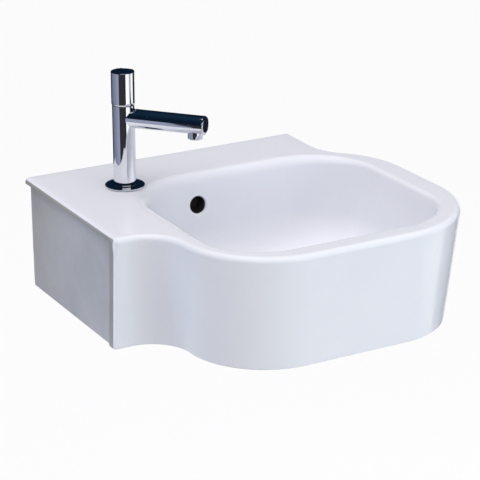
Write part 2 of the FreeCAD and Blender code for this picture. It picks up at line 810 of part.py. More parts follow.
def make_wall_fixing():
    """Hanger bolts with their bushes, washers and nuts. Heights run into the wall."""
    place = {"x": "-bolt_spacing / 2", "turn": INTO_WALL}
    bore = "bolt_radius + bush_bore_gap"
    pair("hanger_bolts", turned("hanger_bolt", [
        ("0", "-bolt_thread"), ("bolt_radius - edge_break", "-bolt_thread"),
        ("bolt_radius", "-bolt_thread + edge_break"), ("bolt_radius", "-bush_setback / 2"),
        ("bolt_wall_radius", "-bush_setback / 2"), ("bolt_wall_radius", "bolt_embed - bolt_point"),
        ("0", "bolt_embed")], **place))
    flange = "(-back_wall - bush_flange)"
    pair("wall_bushes", turned("wall_bush", [
        (bore, flange), ("bush_flange_radius", flange), ("bush_flange_radius", "-back_wall"),
        (f"{bore} + bush_wall", "-back_wall"), (f"{bore} + bush_wall", "-bush_setback"),
        (bore, "-bush_setback")], **place))
    washer = f"({flange} - wall_washer_height)"
    pair("wall_washers", ring("wall_washer", bore, "wall_washer_radius", washer, flange, **place))
    pair("wall_nuts", hex_nut("wall_nut", "wall_nut_flats", "bolt_radius + thread_gap",
                              f"{washer} - wall_nut_height", "wall_nut_height", **place))


# ---------------------------------------------------------------- tap

TAP_PLACE = {"x": "-tap_left", "y": "-tap_from_wall", "z": "rim_height"}
SPOUT_ANGLE = "-atan((waste_from_wall - tap_from_wall) / tap_left)"
SPOUT_TURN = ((0, 0, 1), SPOUT_ANGLE)
PILLAR_FOOT = "gasket_height + flange_height"
DECK_UNDER = "-deck_wall"


def make_tap_foot():
    """Gasket and round flange between the pillar and the shelf."""
    bore = "shank_radius + shank_gap"
    keep(ring("tap_gasket", bore, "gasket_radius", "0", "gasket_height", **TAP_PLACE))
    keep(turned("tap_flange", [
        (bore, "gasket_height"), ("flange_radius", "gasket_height"),
        ("flange_radius", "gasket_height + flange_edge"), ("pillar_radius + edge_break", PILLAR_FOOT),
        (bore, PILLAR_FOOT)], **TAP_PLACE))


def make_tap_pillar():
    """The hollow pillar: a socket for the shank, a water bore, and the valve's chamber with the spout's port."""
    body = turned("tap_body", [
        ("socket_radius", PILLAR_FOOT), ("pillar_radius", PILLAR_FOOT),
        ("pillar_radius", "pillar_height - edge_break / 2"), ("pillar_radius - edge_break / 2", "pillar_height"),
        ("chamber_radius", "pillar_height"), ("chamber_radius", "chamber_floor"),
        ("shank_bore", "chamber_floor"), ("shank_bore", f"{PILLAR_FOOT} + socket_depth"),
        ("socket_radius", f"{PILLAR_FOOT} + socket_depth")], turn=SPOUT_TURN, **TAP_PLACE)
    port = new_sketch(body, "spout_port", "YZ_Plane")
    draw_circle(port, "spout_bore", up="spout_height")
    pocket(body, port, "pillar_radius + edge_break", reverse=True)
    keep(body)


def make_shank():
    """The threaded shank through the shelf, and what tightens it from below."""
    bottom = "-shank_length"
    keep(turned("tap_shank", [
        ("shank_bore", bottom), ("shank_tail_radius - edge_break", bottom),
        ("shank_tail_radius", f"{bottom} + edge_break"),
        ("shank_tail_radius", f"{bottom} + shank_tail_length"),
        ("shank_radius", f"{bottom} + shank_tail_length"), ("shank_radius", PILLAR_FOOT),
        ("socket_radius - fit_gap", PILLAR_FOOT),
        ("socket_radius - fit_gap", f"{PILLAR_FOOT} + socket_depth"),
        ("shank_bore", f"{PILLAR_FOOT} + socket_depth")], **TAP_PLACE))
    bore = "shank_radius + shank_gap"
    rubber = f"{DECK_UNDER} - shank_rubber_height"
    washer = f"{rubber} - shank_washer_height"
    keep(ring("shank_rubber_washer", bore, "shank_rubber_radius", rubber, DECK_UNDER, **TAP_PLACE))
    keep(ring("shank_metal_washer", bore, "shank_washer_radius", washer, rubber, **TAP_PLACE))
    keep(hex_nut("shank_backnut", "shank_nut_flats", "shank_radius + thread_gap",
                 f"{washer} - shank_nut_height", "shank_nut_height", **TAP_PLACE))


def make_spout():
    """The level spout: a tube with a closed end, saddled onto the pillar and bored for the aerator."""
    place = dict(TAP_PLACE, z="rim_height + spout_height")
    body = new_body("tap_spout", turn=SPOUT_TURN, **place)
    profile = new_sketch(body, "spout_profile", "XZ_Plane")
    start = "pillar_radius / 2"
    draw_polygon(profile, [
        (start, "spout_bore"), (start, "spout_radius"), ("spout_reach - edge_break", "spout_radius"),
        ("spout_reach", "spout_radius - edge_break"), ("spout_reach", "0"),
        ("spout_reach - spout_end_wall", "0"), ("spout_reach - spout_end_wall", "spout_bore")])
    revolve(body, profile, "H_Axis")
    saddle = new_sketch(body, "pillar_saddle", level="-spout_radius - edge_break")
    draw_circle(saddle, "pillar_radius")
    pocket(body, saddle, "2 * (spout_radius + edge_break)", reverse=True)
    hole = new_sketch(body, "aerator_hole")
    draw_circle(hole, "aerator_neck + fit_gap", "aerator_reach")
    pocket(body, hole, f"spout_radius + {OVERSHOOT}")
    keep(body)


def aerator_place():
    """Position on the spout's axis over the aerator, in the part's frame."""
    return {
        "x": f"-tap_left + aerator_reach * cos({SPOUT_ANGLE})",
        "y": f"-tap_from_wall + aerator_reach * sin({SPOUT_ANGLE})",
        "z": "rim_height + spout_height", "turn": SPOUT_TURN}


def make_aerator():
    """Aerator under the spout's end: a collar trimmed to the spout, a screwed neck, and the jets inside."""
    place = aerator_place()
    bottom = "(-spout_radius - aerator_drop)"
    bore = "(aerator_radius - aerator_wall)"
    shoulder = f"({bottom} + jet_height + aerator_seal_height)"
    body = ring("aerator_housing", bore, "aerator_radius", bottom, "-spout_radius / 2", **place)
    trim = new_sketch(body, "spout_trim", "YZ_Plane", "-aerator_radius - edge_break")
    draw_circle(trim, "spout_radius")
    pocket(body, trim, "2 * (aerator_radius + edge_break)", reverse=True)
    neck = new_sketch(body, "neck_profile", "XZ_Plane")
    top = "(-spout_radius + aerator_neck_rise)"
    throat = f"{bore} - aerator_wall / 2"
    draw_polygon(neck, [
        (bore, bottom), ("aerator_neck", bottom), ("aerator_neck", top), (throat, top),
        (throat, shoulder), (bore, shoulder)])
    revolve(body, neck)
    keep(body)
    make_jets(place, bottom, bore, shoulder)


def make_jets(place, bottom, bore, shoulder):
    """The aerator's plastic insert with its ring of jets, and the seal above it."""
    body = new_body("aerator_insert", **place)
    disc = new_sketch(body, "insert_disc", level=bottom)
    draw_circle(disc, f"{bore} - fit_gap")
    pad(body, disc, "jet_height")
    centre = new_sketch(body, "centre_jet", level=bottom)
    draw_circle(centre, "jet_radius")
    pocket(body, centre, "jet_height", reverse=True)
    outer = new_sketch(body, "outer_jet", level=bottom)
    draw_circle(outer, "jet_radius", "jet_circle")
    jet = pocket(body, outer, "jet_height", reverse=True)
    copies(body, "jet_ring", [jet], 8)
    keep(body)
    keep(ring("aerator_seal", "jet_circle + jet_radius", f"{bore} - fit_gap", f"{bottom} + jet_height",
              shoulder, **place))


# ---------------------------------------------------------------- valve and handle

DISC_LOW = "(chamber_floor + seat_seal_height)"
MOVING_LOW = f"({DISC_LOW} + disc_height + disc_gap)"
HEAD_LOW = f"({MOVING_LOW} + disc_height)"
DRUM_TOP = f"({DISC_LOW} + drum_height)"
COLLAR_TOP = f"({DRUM_TOP} + collar_height)"
BONNET_TOP = f"({COLLAR_TOP} + bonnet_height)"
SPINDLE_BORE = "spindle_radius + running_gap"
HANDLE_LOW = "(pillar_height + handle_gap)"
HANDLE_TOP = f"({HANDLE_LOW} + handle_height)"
SPINDLE_TOP = f"({HANDLE_LOW} + spline_length)"


def make_valve_housing():
    """The valve's drum and collar, with windows towards the spout and a groove for the O-ring."""
    groove_low = f"({COLLAR_TOP} - collar_height + o_ring_height / 2)"
    groove_high = f"({groove_low} + o_ring_height)"
    groove = f"{SPINDLE_BORE} + o_ring_depth"
    roof = f"({DISC_LOW} + drum_bore_height)"
    bore = "disc_radius + running_gap"
    body = turned("valve_housing", [
        (bore, DISC_LOW), ("drum_radius", DISC_LOW), ("drum_radius", DRUM_TOP),
        ("chamber_radius - fit_gap", DRUM_TOP), ("chamber_radius - fit_gap", COLLAR_TOP),
        (SPINDLE_BORE, COLLAR_TOP), (SPINDLE_BORE, groove_high), (groove, groove_high),
        (groove, groove_low), (SPINDLE_BORE, groove_low), (SPINDLE_BORE, roof), (bore, roof)],
        turn=SPOUT_TURN, **TAP_PLACE)
    window = new_sketch(body, "outlet_window", "YZ_Plane", "-drum_radius - edge_break")
    high = roof
    low = f"{roof} - window_height"
    draw_box(window, "-spindle_radius", low, "spindle_radius", high)
    pocket(body, window, "2 * (drum_radius + edge_break)", reverse=True)
    keep(body)
    keep(ring("valve_o_ring", f"{SPINDLE_BORE}", f"{groove} - fit_gap", f"{groove_low} + fit_gap",
              f"{groove_high} - fit_gap", **TAP_PLACE))


def valve_disc(name, low):
    """A ceramic disc with two ports."""
    body = new_body(name, **TAP_PLACE)
    sketch = new_sketch(body, f"{name}_outline", level=low)
    draw_circle(sketch, "disc_radius")
    draw_circle(sketch, "port_radius", "port_offset")
    draw_circle(sketch, "port_radius", "-port_offset")
    pad(body, sketch, "disc_height")
    keep(body)


def make_valve():
    keep(ring("valve_seat_seal", "shank_bore + fit_gap", "drum_radius", "chamber_floor", DISC_LOW, **TAP_PLACE))
    make_valve_housing()
    valve_disc("valve_fixed_disc", DISC_LOW)
    valve_disc("valve_moving_disc", MOVING_LOW)
    keep(ring("bonnet_nut", SPINDLE_BORE, "chamber_radius - fit_gap", COLLAR_TOP, BONNET_TOP, **TAP_PLACE))
    keep(turned("valve_spindle", [
        ("0", HEAD_LOW), ("spindle_head", HEAD_LOW), ("spindle_head", f"{HEAD_LOW} + spindle_head_height"),
        ("spindle_radius", f"{HEAD_LOW} + spindle_head_height"), ("spindle_radius", HANDLE_LOW),
        ("spline_radius", HANDLE_LOW), ("spline_radius", SPINDLE_TOP), ("0", SPINDLE_TOP)], **TAP_PLACE))


def make_handle():
    """The turning handle: a thin shell with a hub on the spindle, held by a grub screw at the back."""
    hub_low = f"({HANDLE_LOW} + hub_lift)"
    roof = f"({HANDLE_TOP} - handle_roof)"
    bore = "spline_radius + thread_gap"
    inside = "handle_radius - handle_wall"
    body = turned("tap_handle", [
        (bore, hub_low), ("hub_radius", hub_low), ("hub_radius", roof), (inside, roof),
        (inside, HANDLE_LOW), ("handle_radius", HANDLE_LOW), ("handle_radius", f"{HANDLE_TOP} - edge_break"),
        ("handle_radius - edge_break", HANDLE_TOP), ("0", HANDLE_TOP), ("0", SPINDLE_TOP), (bore, SPINDLE_TOP)],
        turn=SPOUT_TURN, **TAP_PLACE)
    level = f"{HANDLE_LOW} + grub_rise"
    hole = new_sketch(body, "grub_hole", "YZ_Plane")
    draw_circle(hole, "grub_radius + thread_gap", up=level)
    pocket(body, hole, f"handle_radius + {OVERSHOOT}")
    keep(body)
    screw = new_body("handle_screw", turn=SPOUT_TURN, **TAP_PLACE)
    outline = new_sketch(screw, "grub_outline", "YZ_Plane", "-spline_radius - thread_gap")
    draw_circle(outline, "grub_radius", up=level)
    pad(screw, outline, "handle_radius - grub_setback - spline_radius - thread_gap", reverse=True)
    keep(screw)


# ---------------------------------------------------------------- waste and plug

WASTE_PLACE = {"y": "-waste_from_wall", "z": "rim_height - bowl_depth"}
SEAT = "(-floor_fall - seat_depth)"
FLANGE_LOW = f"({SEAT} + top_seal_height)"
FLANGE_TOP = f"({FLANGE_LOW} + waste_flange_height)"
DISH_LOW = f"({FLANGE_TOP} - dish_depth - edge_break)"
DISH_RIM = f"({FLANGE_TOP} - edge_break)"
TUBE_LOW = "(-waste_tube_length)"
SPIDER_TOP = "(-spider_level + spider_height)"
GUIDE_TOP = f"({SPIDER_TOP} + guide_floor)"
GUIDE_LOW = f"({GUIDE_TOP} - guide_length)"
PLUG_LOW = f"({DISH_LOW} + dish_depth + seal_clearance)"
COLLAR_HIGH = f"({SPIDER_TOP} - plug_travel - 1)"
SPRING_HIGH = f"({COLLAR_HIGH} - stem_collar_height)"
SPRING_LOW = f"({GUIDE_LOW} + guide_floor)"


def make_waste_body():
    """The waste's dished flange and slotted tube, with a spider that carries the plug's guide."""
    body = turned("waste_body", [
        ("waste_bore", DISH_LOW), ("dish_radius", DISH_RIM), ("dish_radius + edge_break", FLANGE_TOP),
        ("waste_flange_radius - edge_break", FLANGE_TOP), ("waste_flange_radius", DISH_RIM),
        ("waste_flange_radius", FLANGE_LOW), ("waste_tube_radius", FLANGE_LOW),
        ("waste_tube_radius", TUBE_LOW), ("waste_bore", TUBE_LOW)], **WASTE_PLACE)
    slots = new_sketch(body, "overflow_slots", "XZ_Plane", "-waste_tube_radius - edge_break")
    low = "-boss_depth + duct_wall"
    draw_box(slots, "-slot_width / 2", low, "slot_width / 2", f"{low} + channel_depth")
    pocket(body, slots, "2 * (waste_tube_radius + edge_break)", reverse=True)
    bar = new_sketch(body, "spider_bar", level="-spider_level")
    reach = "(waste_bore + waste_tube_radius) / 2"
    draw_box(bar, f"-{reach}", "-spider_width / 2", reach, "spider_width / 2")
    pad(body, bar, "spider_height")
    hub = new_sketch(body, "spider_hub_outline", level="-spider_level")
    draw_circle(hub, "spider_hub")
    pad(body, hub, "spider_height")
    bore = new_sketch(body, "guide_bore", level="-spider_level")
    draw_circle(bore, "guide_radius + fit_gap")
    pocket(body, bore, "spider_height", reverse=True)
    keep(body)


def make_waste_fixing():
    """Seals, washer and backnut that clamp the waste to the boss, and the tailpiece below."""
    tube = "waste_tube_radius + fit_gap"
    keep(ring("waste_top_seal", tube, "waste_flange_radius - edge_break", SEAT, FLANGE_LOW, **WASTE_PLACE))
    seal = "(-boss_depth - under_seal_height)"
    washer = f"({seal} - under_washer_height)"
    keep(ring("waste_under_seal", tube, "under_seal_radius", seal, "-boss_depth", **WASTE_PLACE))
    keep(ring("waste_under_washer", tube, "under_washer_radius", washer, seal, **WASTE_PLACE))
    keep(hex_nut("waste_backnut", "waste_nut_flats", "waste_tube_radius + thread_gap",
                 f"{washer} - waste_nut_height", "waste_nut_height", **WASTE_PLACE))
    bottom = f"({TUBE_LOW} - tail_length)"
    collar = f"({TUBE_LOW} + tail_collar_height)"
    keep(turned("waste_tailpiece", [
        ("tail_radius - tail_wall", bottom), ("tail_radius", bottom), ("tail_radius", TUBE_LOW),
        ("waste_bore - fit_gap", TUBE_LOW), ("waste_bore - fit_gap", collar),
        ("tail_radius - tail_wall", collar)], **WASTE_PLACE))


def make_plug():
    """The push plug: cap, seal and stem, sliding in a guide with a return spring."""
    keep(turned("plug_cap", [
        ("0", PLUG_LOW), ("plug_radius", PLUG_LOW), ("plug_radius", f"{PLUG_LOW} + plug_edge"),
        ("plug_radius - plug_edge", f"{PLUG_LOW} + plug_rise - edge_break"),
        ("plug_radius / 2", f"{PLUG_LOW} + plug_rise"), ("0", f"{PLUG_LOW} + plug_rise")], **WASTE_PLACE))
    keep(ring("plug_seal", "plug_seal_inner", "plug_seal_inner + plug_seal_width",
              f"{PLUG_LOW} - plug_seal_height", PLUG_LOW, **WASTE_PLACE))
    keep(turned("plug_stem", [
        ("0", PLUG_LOW), ("stem_radius", PLUG_LOW), ("stem_radius", COLLAR_HIGH),
        ("stem_collar_radius", COLLAR_HIGH), ("stem_collar_radius", SPRING_HIGH),
        ("stem_tail_radius", SPRING_HIGH), ("stem_tail_radius", f"{SPRING_HIGH} - stem_tail_length"),
        ("0", f"{SPRING_HIGH} - stem_tail_length")], **WASTE_PLACE))
    inside = "guide_radius - guide_wall"
    keep(turned("plug_guide", [
        ("stem_tail_radius + running_gap", GUIDE_LOW), ("guide_radius", GUIDE_LOW),
        ("guide_radius", SPIDER_TOP), ("guide_flange_radius", SPIDER_TOP), ("guide_flange_radius", GUIDE_TOP),
        ("stem_radius + running_gap", GUIDE_TOP), ("stem_radius + running_gap", SPIDER_TOP),
        (inside, SPIDER_TOP), (inside, SPRING_LOW), ("stem_tail_radius + running_gap", SPRING_LOW)],
        **WASTE_PLACE))
    make_spring()


def make_spring():
    """A coil of round wire between the guide's floor and the stem's collar."""
    body = new_body("plug_spring", **WASTE_PLACE)
    wire = new_sketch(body, "spring_wire_section", "XZ_Plane")
    draw_circle(wire, "spring_wire", "spring_radius", f"{SPRING_LOW} + spring_wire + thread_gap")
    coil = body.newObject("PartDesign::AdditiveHelix", "spring_coil")
    coil.Profile = wire
    coil.ReferenceAxis = (wire, ["V_Axis"])
    coil.Mode = "height-turns-angle"
    bind(coil, "Height", f"{SPRING_HIGH} - {SPRING_LOW} - 2 * (spring_wire + thread_gap)")
    bind(coil, "Turns", "spring_turns")
    keep(body)


# ---------------------------------------------------------------- build and write

def check_document():
    """Stop on a failed object, an empty shape or an open solid."""
    for item in DOCUMENT.Objects:
        if "Invalid" in item.State or "Error" in item.State:
            raise ValueError(f"{item.Name} failed: {item.State}")
    for item in NODES:
        shape = item.Shape
        if shape.isNull() or not shape.isValid() or not shape.Solids:
            raise ValueError(f"{item.Label} has no valid solid")


def write_parts():
    os.makedirs("parts", exist_ok=True)
    for item in NODES:
        item.Shape.exportStep(f"parts/{item.Label}.step")
        print(f"{item.Label}: {len(item.Shape.Solids)} solid, {item.Shape.Volume / 1000:.2f} cm3")


def main():
    fill_sheet()
    make_basin()
    make_wall_fixing()
    make_tap_foot()
    make_tap_pillar()
    make_shank()
    make_spout()
    make_aerator()
    make_valve()
    make_handle()
    make_waste_body()
    make_waste_fixing()
    make_plug()
    DOCUMENT.recompute()
    check_document()
    write_parts()


main()
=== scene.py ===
import json
import math

import bpy
import numpy as np
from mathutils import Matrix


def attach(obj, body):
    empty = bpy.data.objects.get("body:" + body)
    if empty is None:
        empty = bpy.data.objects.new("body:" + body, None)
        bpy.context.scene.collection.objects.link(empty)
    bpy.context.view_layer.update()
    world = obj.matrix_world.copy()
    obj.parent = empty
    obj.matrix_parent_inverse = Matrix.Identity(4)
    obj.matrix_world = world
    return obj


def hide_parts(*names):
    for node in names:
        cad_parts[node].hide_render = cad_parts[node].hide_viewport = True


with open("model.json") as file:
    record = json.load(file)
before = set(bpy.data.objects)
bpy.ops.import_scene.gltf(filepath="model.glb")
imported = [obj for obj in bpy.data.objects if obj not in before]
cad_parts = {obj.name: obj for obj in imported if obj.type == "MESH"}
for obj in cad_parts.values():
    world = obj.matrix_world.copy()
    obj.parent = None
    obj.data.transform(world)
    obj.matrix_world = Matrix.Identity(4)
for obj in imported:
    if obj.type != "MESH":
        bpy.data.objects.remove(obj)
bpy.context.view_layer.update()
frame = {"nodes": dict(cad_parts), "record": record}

# A wall hung basin with its pillar tap, waste and wall bolts. Shapes are in mm, in the frame's
# axes, and become metres in add_mesh. The stage, its lamps and the camera are in metres.

MM = 0.001
NODES = frame["nodes"]
QUARTER = np.linspace(0, math.pi / 2, 5)     # the angles of a quarter circle's points


# ---------------------------------------------------------------- surfaces

def add_mesh(name, vertices, faces, material, body, replaced=(), smooth_angle=0.6):
    """One piece from vertices in mm and faces, smooth where the turn between faces is small."""
    mesh = bpy.data.meshes.new(name)
    mesh.from_pydata((np.asarray(vertices) * MM).tolist(), [], [list(face) for face in faces])
    mesh.update()
    mesh.polygons.foreach_set("use_smooth", np.ones(len(mesh.polygons), dtype=bool))
    mesh.set_sharp_from_angle(angle=smooth_angle)
    piece = bpy.data.objects.new(name, mesh)
    bpy.context.scene.collection.objects.link(piece)
    mesh.materials.append(material)
    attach(piece, body)
    if replaced:
        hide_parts(*replaced)
    return piece


def grid_faces(rows, columns, wrap_rows=False, wrap_columns=True):
    """Quads of a grid of vertices stored row by row, with either direction closed on itself."""
    down = np.arange(rows if wrap_rows else rows - 1)
    across = np.arange(columns if wrap_columns else columns - 1)
    row, column = np.meshgrid(down, across, indexing="ij")
    next_row = (row + 1) % rows
    next_column = (column + 1) % columns
    quads = np.stack([row * columns + column, row * columns + next_column,
                      next_row * columns + next_column, next_row * columns + column], axis=-1)
    return quads.reshape(-1, 4)


def outward(vertices, faces):
    """The faces, turned over as a whole if the closed surface's volume comes out negative."""
    corners = vertices[np.asarray([list(face)[:3] for face in faces])]
    volume = np.einsum("ij,ij->i", corners[:, 0], np.cross(corners[:, 1], corners[:, 2])).sum()
    if volume < 0:
        return [list(face)[::-1] for face in faces]
    return [list(face) for face in faces]


def smoothstep(value):
    """0 below 0, 1 above 1, and 3v^2 - 2v^3 between."""
    value = np.clip(value, 0, 1)
    return value * value * (3 - 2 * value)


def mix(first, second, part):
    """From the first to the second by a part."""
    return first + (second - first) * part


# ---------------------------------------------------------------- the basin

TOP = 60.0            # level of the deck, above the wall bolts
HEIGHT = 143.7        # from the deck down to the skirt's bottom edge
ROOF = 47.0           # level of the deck's underside
DECK_EDGE = 6.0       # radius of the deck's outer edge
WALL = 11.0           # thickness of the skirt and of the bowl
BACK_WALL = 14.0
SHOULDER_Y = -187.0   # where the bowl's right side starts to turn in
BACK_CORNER = 1.5     # radius of the slab's right back corner
INSIDE_LEVELS = np.linspace(-75, 39, 9)

FOOT_ROUND = 2.5      # radius of the two edges at the skirt's bottom
FOOT = TOP - HEIGHT + FOOT_ROUND

STRIP_WIDTH = 16.0    # of the strip between the side panel and the slab's front
PANEL_X = -178.0      # plane of the side panel, 9.5 mm behind the outline
PANEL_WALL = 9.0
SKIRT_START = 46.5    # level of the first even loop, below the panel's lip
SKIRT_LOOPS = 20

DRAIN = np.array([0.0, -200.0])
FLOOR = -44.0         # level of the bowl's floor
FLOOR_FALL = 3.0      # from there down to the drain's seat
BOWL_BACK = -95.0     # the bowl's edge at the back
BOWL_LEAN = 18 / 104  # the bowl's wall leans in by 18 mm on 104 mm of height
TURN = math.pi / 2 - math.atan(BOWL_LEAN)
TURN_RADIUS = 46.0    # from the floor into the wall
TURN_INSET = 56.7     # from the bowl's edge in to the foot of that turn

SHELL_BOTTOM = -59.0  # under the bowl, beside the drain's boss
SHELL_TURN = TURN_RADIUS + WALL
SHELL_INSET = 57.6
BOSS_BOTTOM = -78.0
BOSS_RADIUS = 45.0
DUCT_BACK = -66.0     # back face of the overflow's duct

OVERFLOW_LEVEL = 22.0
PATCH_STEP = 0.8      # grid step of the square patch that holds the overflow's hole
PATCH_HALF = 19       # steps from its middle to its side
PATCH_SIDE = PATCH_STEP * PATCH_HALF
DUCT_SIDE = 24.0      # the columns of the duct blend into the others inside this distance
CHANNEL_RINGS = 11    # rings of the patch that lie in the unlit channel

# Columns in each segment of the outline, in the order in which outline joins them.
COUNTS = (6, 44, 9, 8, 5, 24, 56, 22, 56, 16, 28, 22, 14, 4, 34, 8, 38, 8, 34)
PANEL_END = COUNTS[0] + COUNTS[1]
STRIP_END = PANEL_END + COUNTS[2]
PATCH_COLUMN = sum(COUNTS[:16])

# Lengths along the bowl's edge at which the outline's segments start, from the left end of the
# bowl's back edge.
MATCHES = (66.75, 68.0, 188.5, 193.5, 200.5, 207.5, 250.5, 369.9, 518.4, 644.1, 762.1, 824.9,
           887.8, 911.0, 912.5, 987.8, 996.6, 1027.0, 1035.8, 1094.05)

# The bowl's edge, a rounded rectangle, anticlockwise from the left end of its back edge. An arc
# has its centre, radius, first angle and length; a line its start, direction, inward side and
# length.
BOWL_EDGE = (("arc", (-15.5, -180.0), 85.0, 90.0, 133.5),
             ("line", (-100.5, -180.0), (0, -1), (1, 0), 117.0),
             ("arc", (-24.5, -297.0), 76.0, 180.0, 119.4),
             ("line", (-24.5, -373.0), (1, 0), (0, 1), 148.5),
             ("arc", (124.0, -293.0), 80.0, 270.0, 125.7),
             ("line", (204.0, -293.0), (0, 1), (-1, 0), 118.0),
             ("arc", (124.0, -175.0), 80.0, 0.0, 125.7),
             ("line", (124.0, BOWL_BACK), (-1, 0), (0, -1), 139.5))

# Radius and level of the loops from the drain's bore over the seat of the waste.
SEAT = ((23, -76.6), (23, -70), (23, -62), (23, -54), (23, -51.2), (23.7, -50.5), (27, -50.5),
        (32.2, -50.5), (32.8, -50.2), (33, -49.6), (33, -47.9), (33.25, -47.25), (34, -47.0))

# Levels of the bowl wall's loops below and above the overflow's patch.
WALL_FOOT = (-3.4, -0.6, 2.6, 5.0)
WALL_HEAD = 40.5

# The lip over the side panel: level outside it, level on it, and how far it is let in there.
PANEL_LIP = ((52.9, 53.6, 0), (52.6, 53.4, 0.003), (52.3, 53.15, 0.015), (52.0, 53.02, 0.05),
             (51.6, 53.0, 0.5), (51.2, 52.97, 0.95), (50.7, 52.8, 0.985), (50.1, 52.3, 0.997),
             (49.4, 51.4, 1))

# Radius and depth of the overflow's rings, from its middle out to the untouched wall.
OVERFLOW = ((0, 20), (2, 20), (4, 20), (6, 20), (8, 20), (9.3, 19.8), (10.0, 19.0), (10.3, 16.5),
            (10.4, 13), (10.5, 9), (10.6, 5.5), (10.7, 3.2), (10.9, 1.7), (11.4, 0.75),
            (12.1, 0.22), (12.9, 0), (13.6, 0), (14.2, 0), (14.8, 0))

# Depth in y and level of the duct's outside, round its foot and forward to the drain's boss.
DUCT_PATH = ((-66.0, -66.0), (-66.0, -72.0), (-66.3, -75.5), (-67.5, -77.6), (-70.0, -78.0),
             (-80.0, -78.0), (-90.0, -78.0), (-102.0, -78.0), (-114.0, -78.0), (-126.0, -78.0),
             (-138.0, -78.0), (-150.0, -78.0))

# The boss round the drain: share of the way in to its circle and level, then the radius and
# level of its lower edge and of the bore's.
BOSS_SIDE = ((0.3, -59), (0.65, -59), (0.88, -59.0), (0.95, -59.6), (0.985, -61.5), (1.0, -66.0),
             (1.0, -75.0))
BOSS_EDGE = ((44.6, -77.0), (43.6, -77.8), (42.5, -78.0))
BORE_EDGE = ((25.0, -78.0), (23.8, -77.8), (23.2, -77.4))


def arc_points(centre, radius, start, end, count):
    """Points along an arc from one angle to another, in degrees, without its last point."""
    angle = np.radians(start + (end - start) * np.arange(count) / count)
    return np.stack([centre[0] + radius * np.cos(angle), centre[1] + radius * np.sin(angle)],
                    axis=-1)


def line_points(start, end, count, places=None):
    """Points along a line without its last point, evenly or at the given parts of its length."""
    part = np.arange(count) / count if places is None else np.asarray(places)
    return np.stack([mix(start[0], end[0], part), mix(start[1], end[1], part)], axis=-1)


def heading(centre, point):
    """The direction from one plan point to another, in degrees from +X."""
    return math.degrees(math.atan2(point[1] - centre[1], point[0] - centre[0]))


def outline(depth, inset=0.0, back_inset=0.0, corner=7.0):
    """The basin's outside in plan at a depth below the top, as matched columns.

    It runs anticlockwise from the back left corner. Each side leans in evenly with the depth, so a
    size is its value at the top plus a change times the lean. The slab's front and its right side
    run into the bowl's sides by a concave and a convex arc that share a tangent: the middles of two
    such arcs lie as far apart as their radii together, which gives the concave one's middle. The
    front left corner keeps its radius for 7 mm and loses 3.5 mm of it over the next 14.
    """
    lean = depth / HEIGHT
    left = -187.5 + 6.5 * lean + inset
    slab_right = 187.5 - 6.5 * lean - inset
    right = 240 - 16.5 * lean - inset
    front = -401.998 + 24 * lean + inset
    slab_front = -254 + 21.5 * lean + inset
    back = -back_inset
    round_left = 108 - 9 * lean - inset
    round_right = 129 - 30 * lean - inset
    hollow = 49 + inset
    shoulder = 112 - inset
    neck = 58 + inset
    front_corner = corner - 3.5 * float(smoothstep((depth - 7) / 14))
    strip = slab_front + STRIP_WIDTH

    left_centre = (-18 + 7.5 * lean, front + round_left)
    right_centre = (right - round_right, front + round_right)
    shoulder_centre = (right - shoulder, SHOULDER_Y)
    hollow_y = slab_front - hollow
    hollow_x = left_centre[0] - math.sqrt(
        (round_left + hollow) ** 2 - (left_centre[1] - hollow_y) ** 2)
    hollow_centre = (hollow_x, hollow_y)
    neck_x = slab_right + neck
    neck_y = shoulder_centre[1] + math.sqrt(
        (shoulder + neck) ** 2 - (neck_x - shoulder_centre[0]) ** 2)
    neck_centre = (neck_x, neck_y)
    meet = heading(left_centre, hollow_centre)
    shoulder_meet = heading(shoulder_centre, neck_centre)

    panel_places = np.concatenate([np.linspace(0, 0.985, 40), [0.9883, 0.9915, 0.9945, 0.9975]])
    strip_places = (0, 0.09, 0.15, 0.19, 0.22, 0.25, 0.34, 0.5, 0.75)
    c = COUNTS
    return np.concatenate([
        arc_points((left + corner, back - corner), corner, 90, 180, c[0]),
        line_points((left, back - corner), (left, strip), c[1], panel_places),
        line_points((left, strip), (left, slab_front + front_corner), c[2], strip_places),
        arc_points((left + front_corner, slab_front + front_corner), front_corner, 180, 270, c[3]),
        line_points((left + front_corner, slab_front), (hollow_x, slab_front), c[4]),
        arc_points(hollow_centre, hollow, 90, meet + 180 - 360 * (meet > 0), c[5]),
        arc_points(left_centre, round_left, meet + 360 * (meet < 0), 270, c[6]),
        line_points((left_centre[0], front), (right_centre[0], front), c[7]),
        arc_points(right_centre, round_right, 270, 360, c[8]),
        line_points((right, right_centre[1]), (right, SHOULDER_Y), c[9]),
        arc_points(shoulder_centre, shoulder, 0, shoulder_meet, c[10]),
        arc_points(neck_centre, neck, shoulder_meet + 180, 180, c[11]),
        line_points((slab_right, neck_y), (slab_right, back - BACK_CORNER), c[12]),
        arc_points((slab_right - BACK_CORNER, back - BACK_CORNER), BACK_CORNER, 0, 90, c[13]),
        line_points((slab_right - BACK_CORNER, back), (DUCT_SIDE, back), c[14]),
        line_points((DUCT_SIDE, back), (PATCH_SIDE, back), c[15]),
        line_points((PATCH_SIDE, back), (-PATCH_SIDE, back), c[16]),
        line_points((-PATCH_SIDE, back), (-DUCT_SIDE, back), c[17]),
        line_points((-DUCT_SIDE, back), (left + corner, back), c[18])])


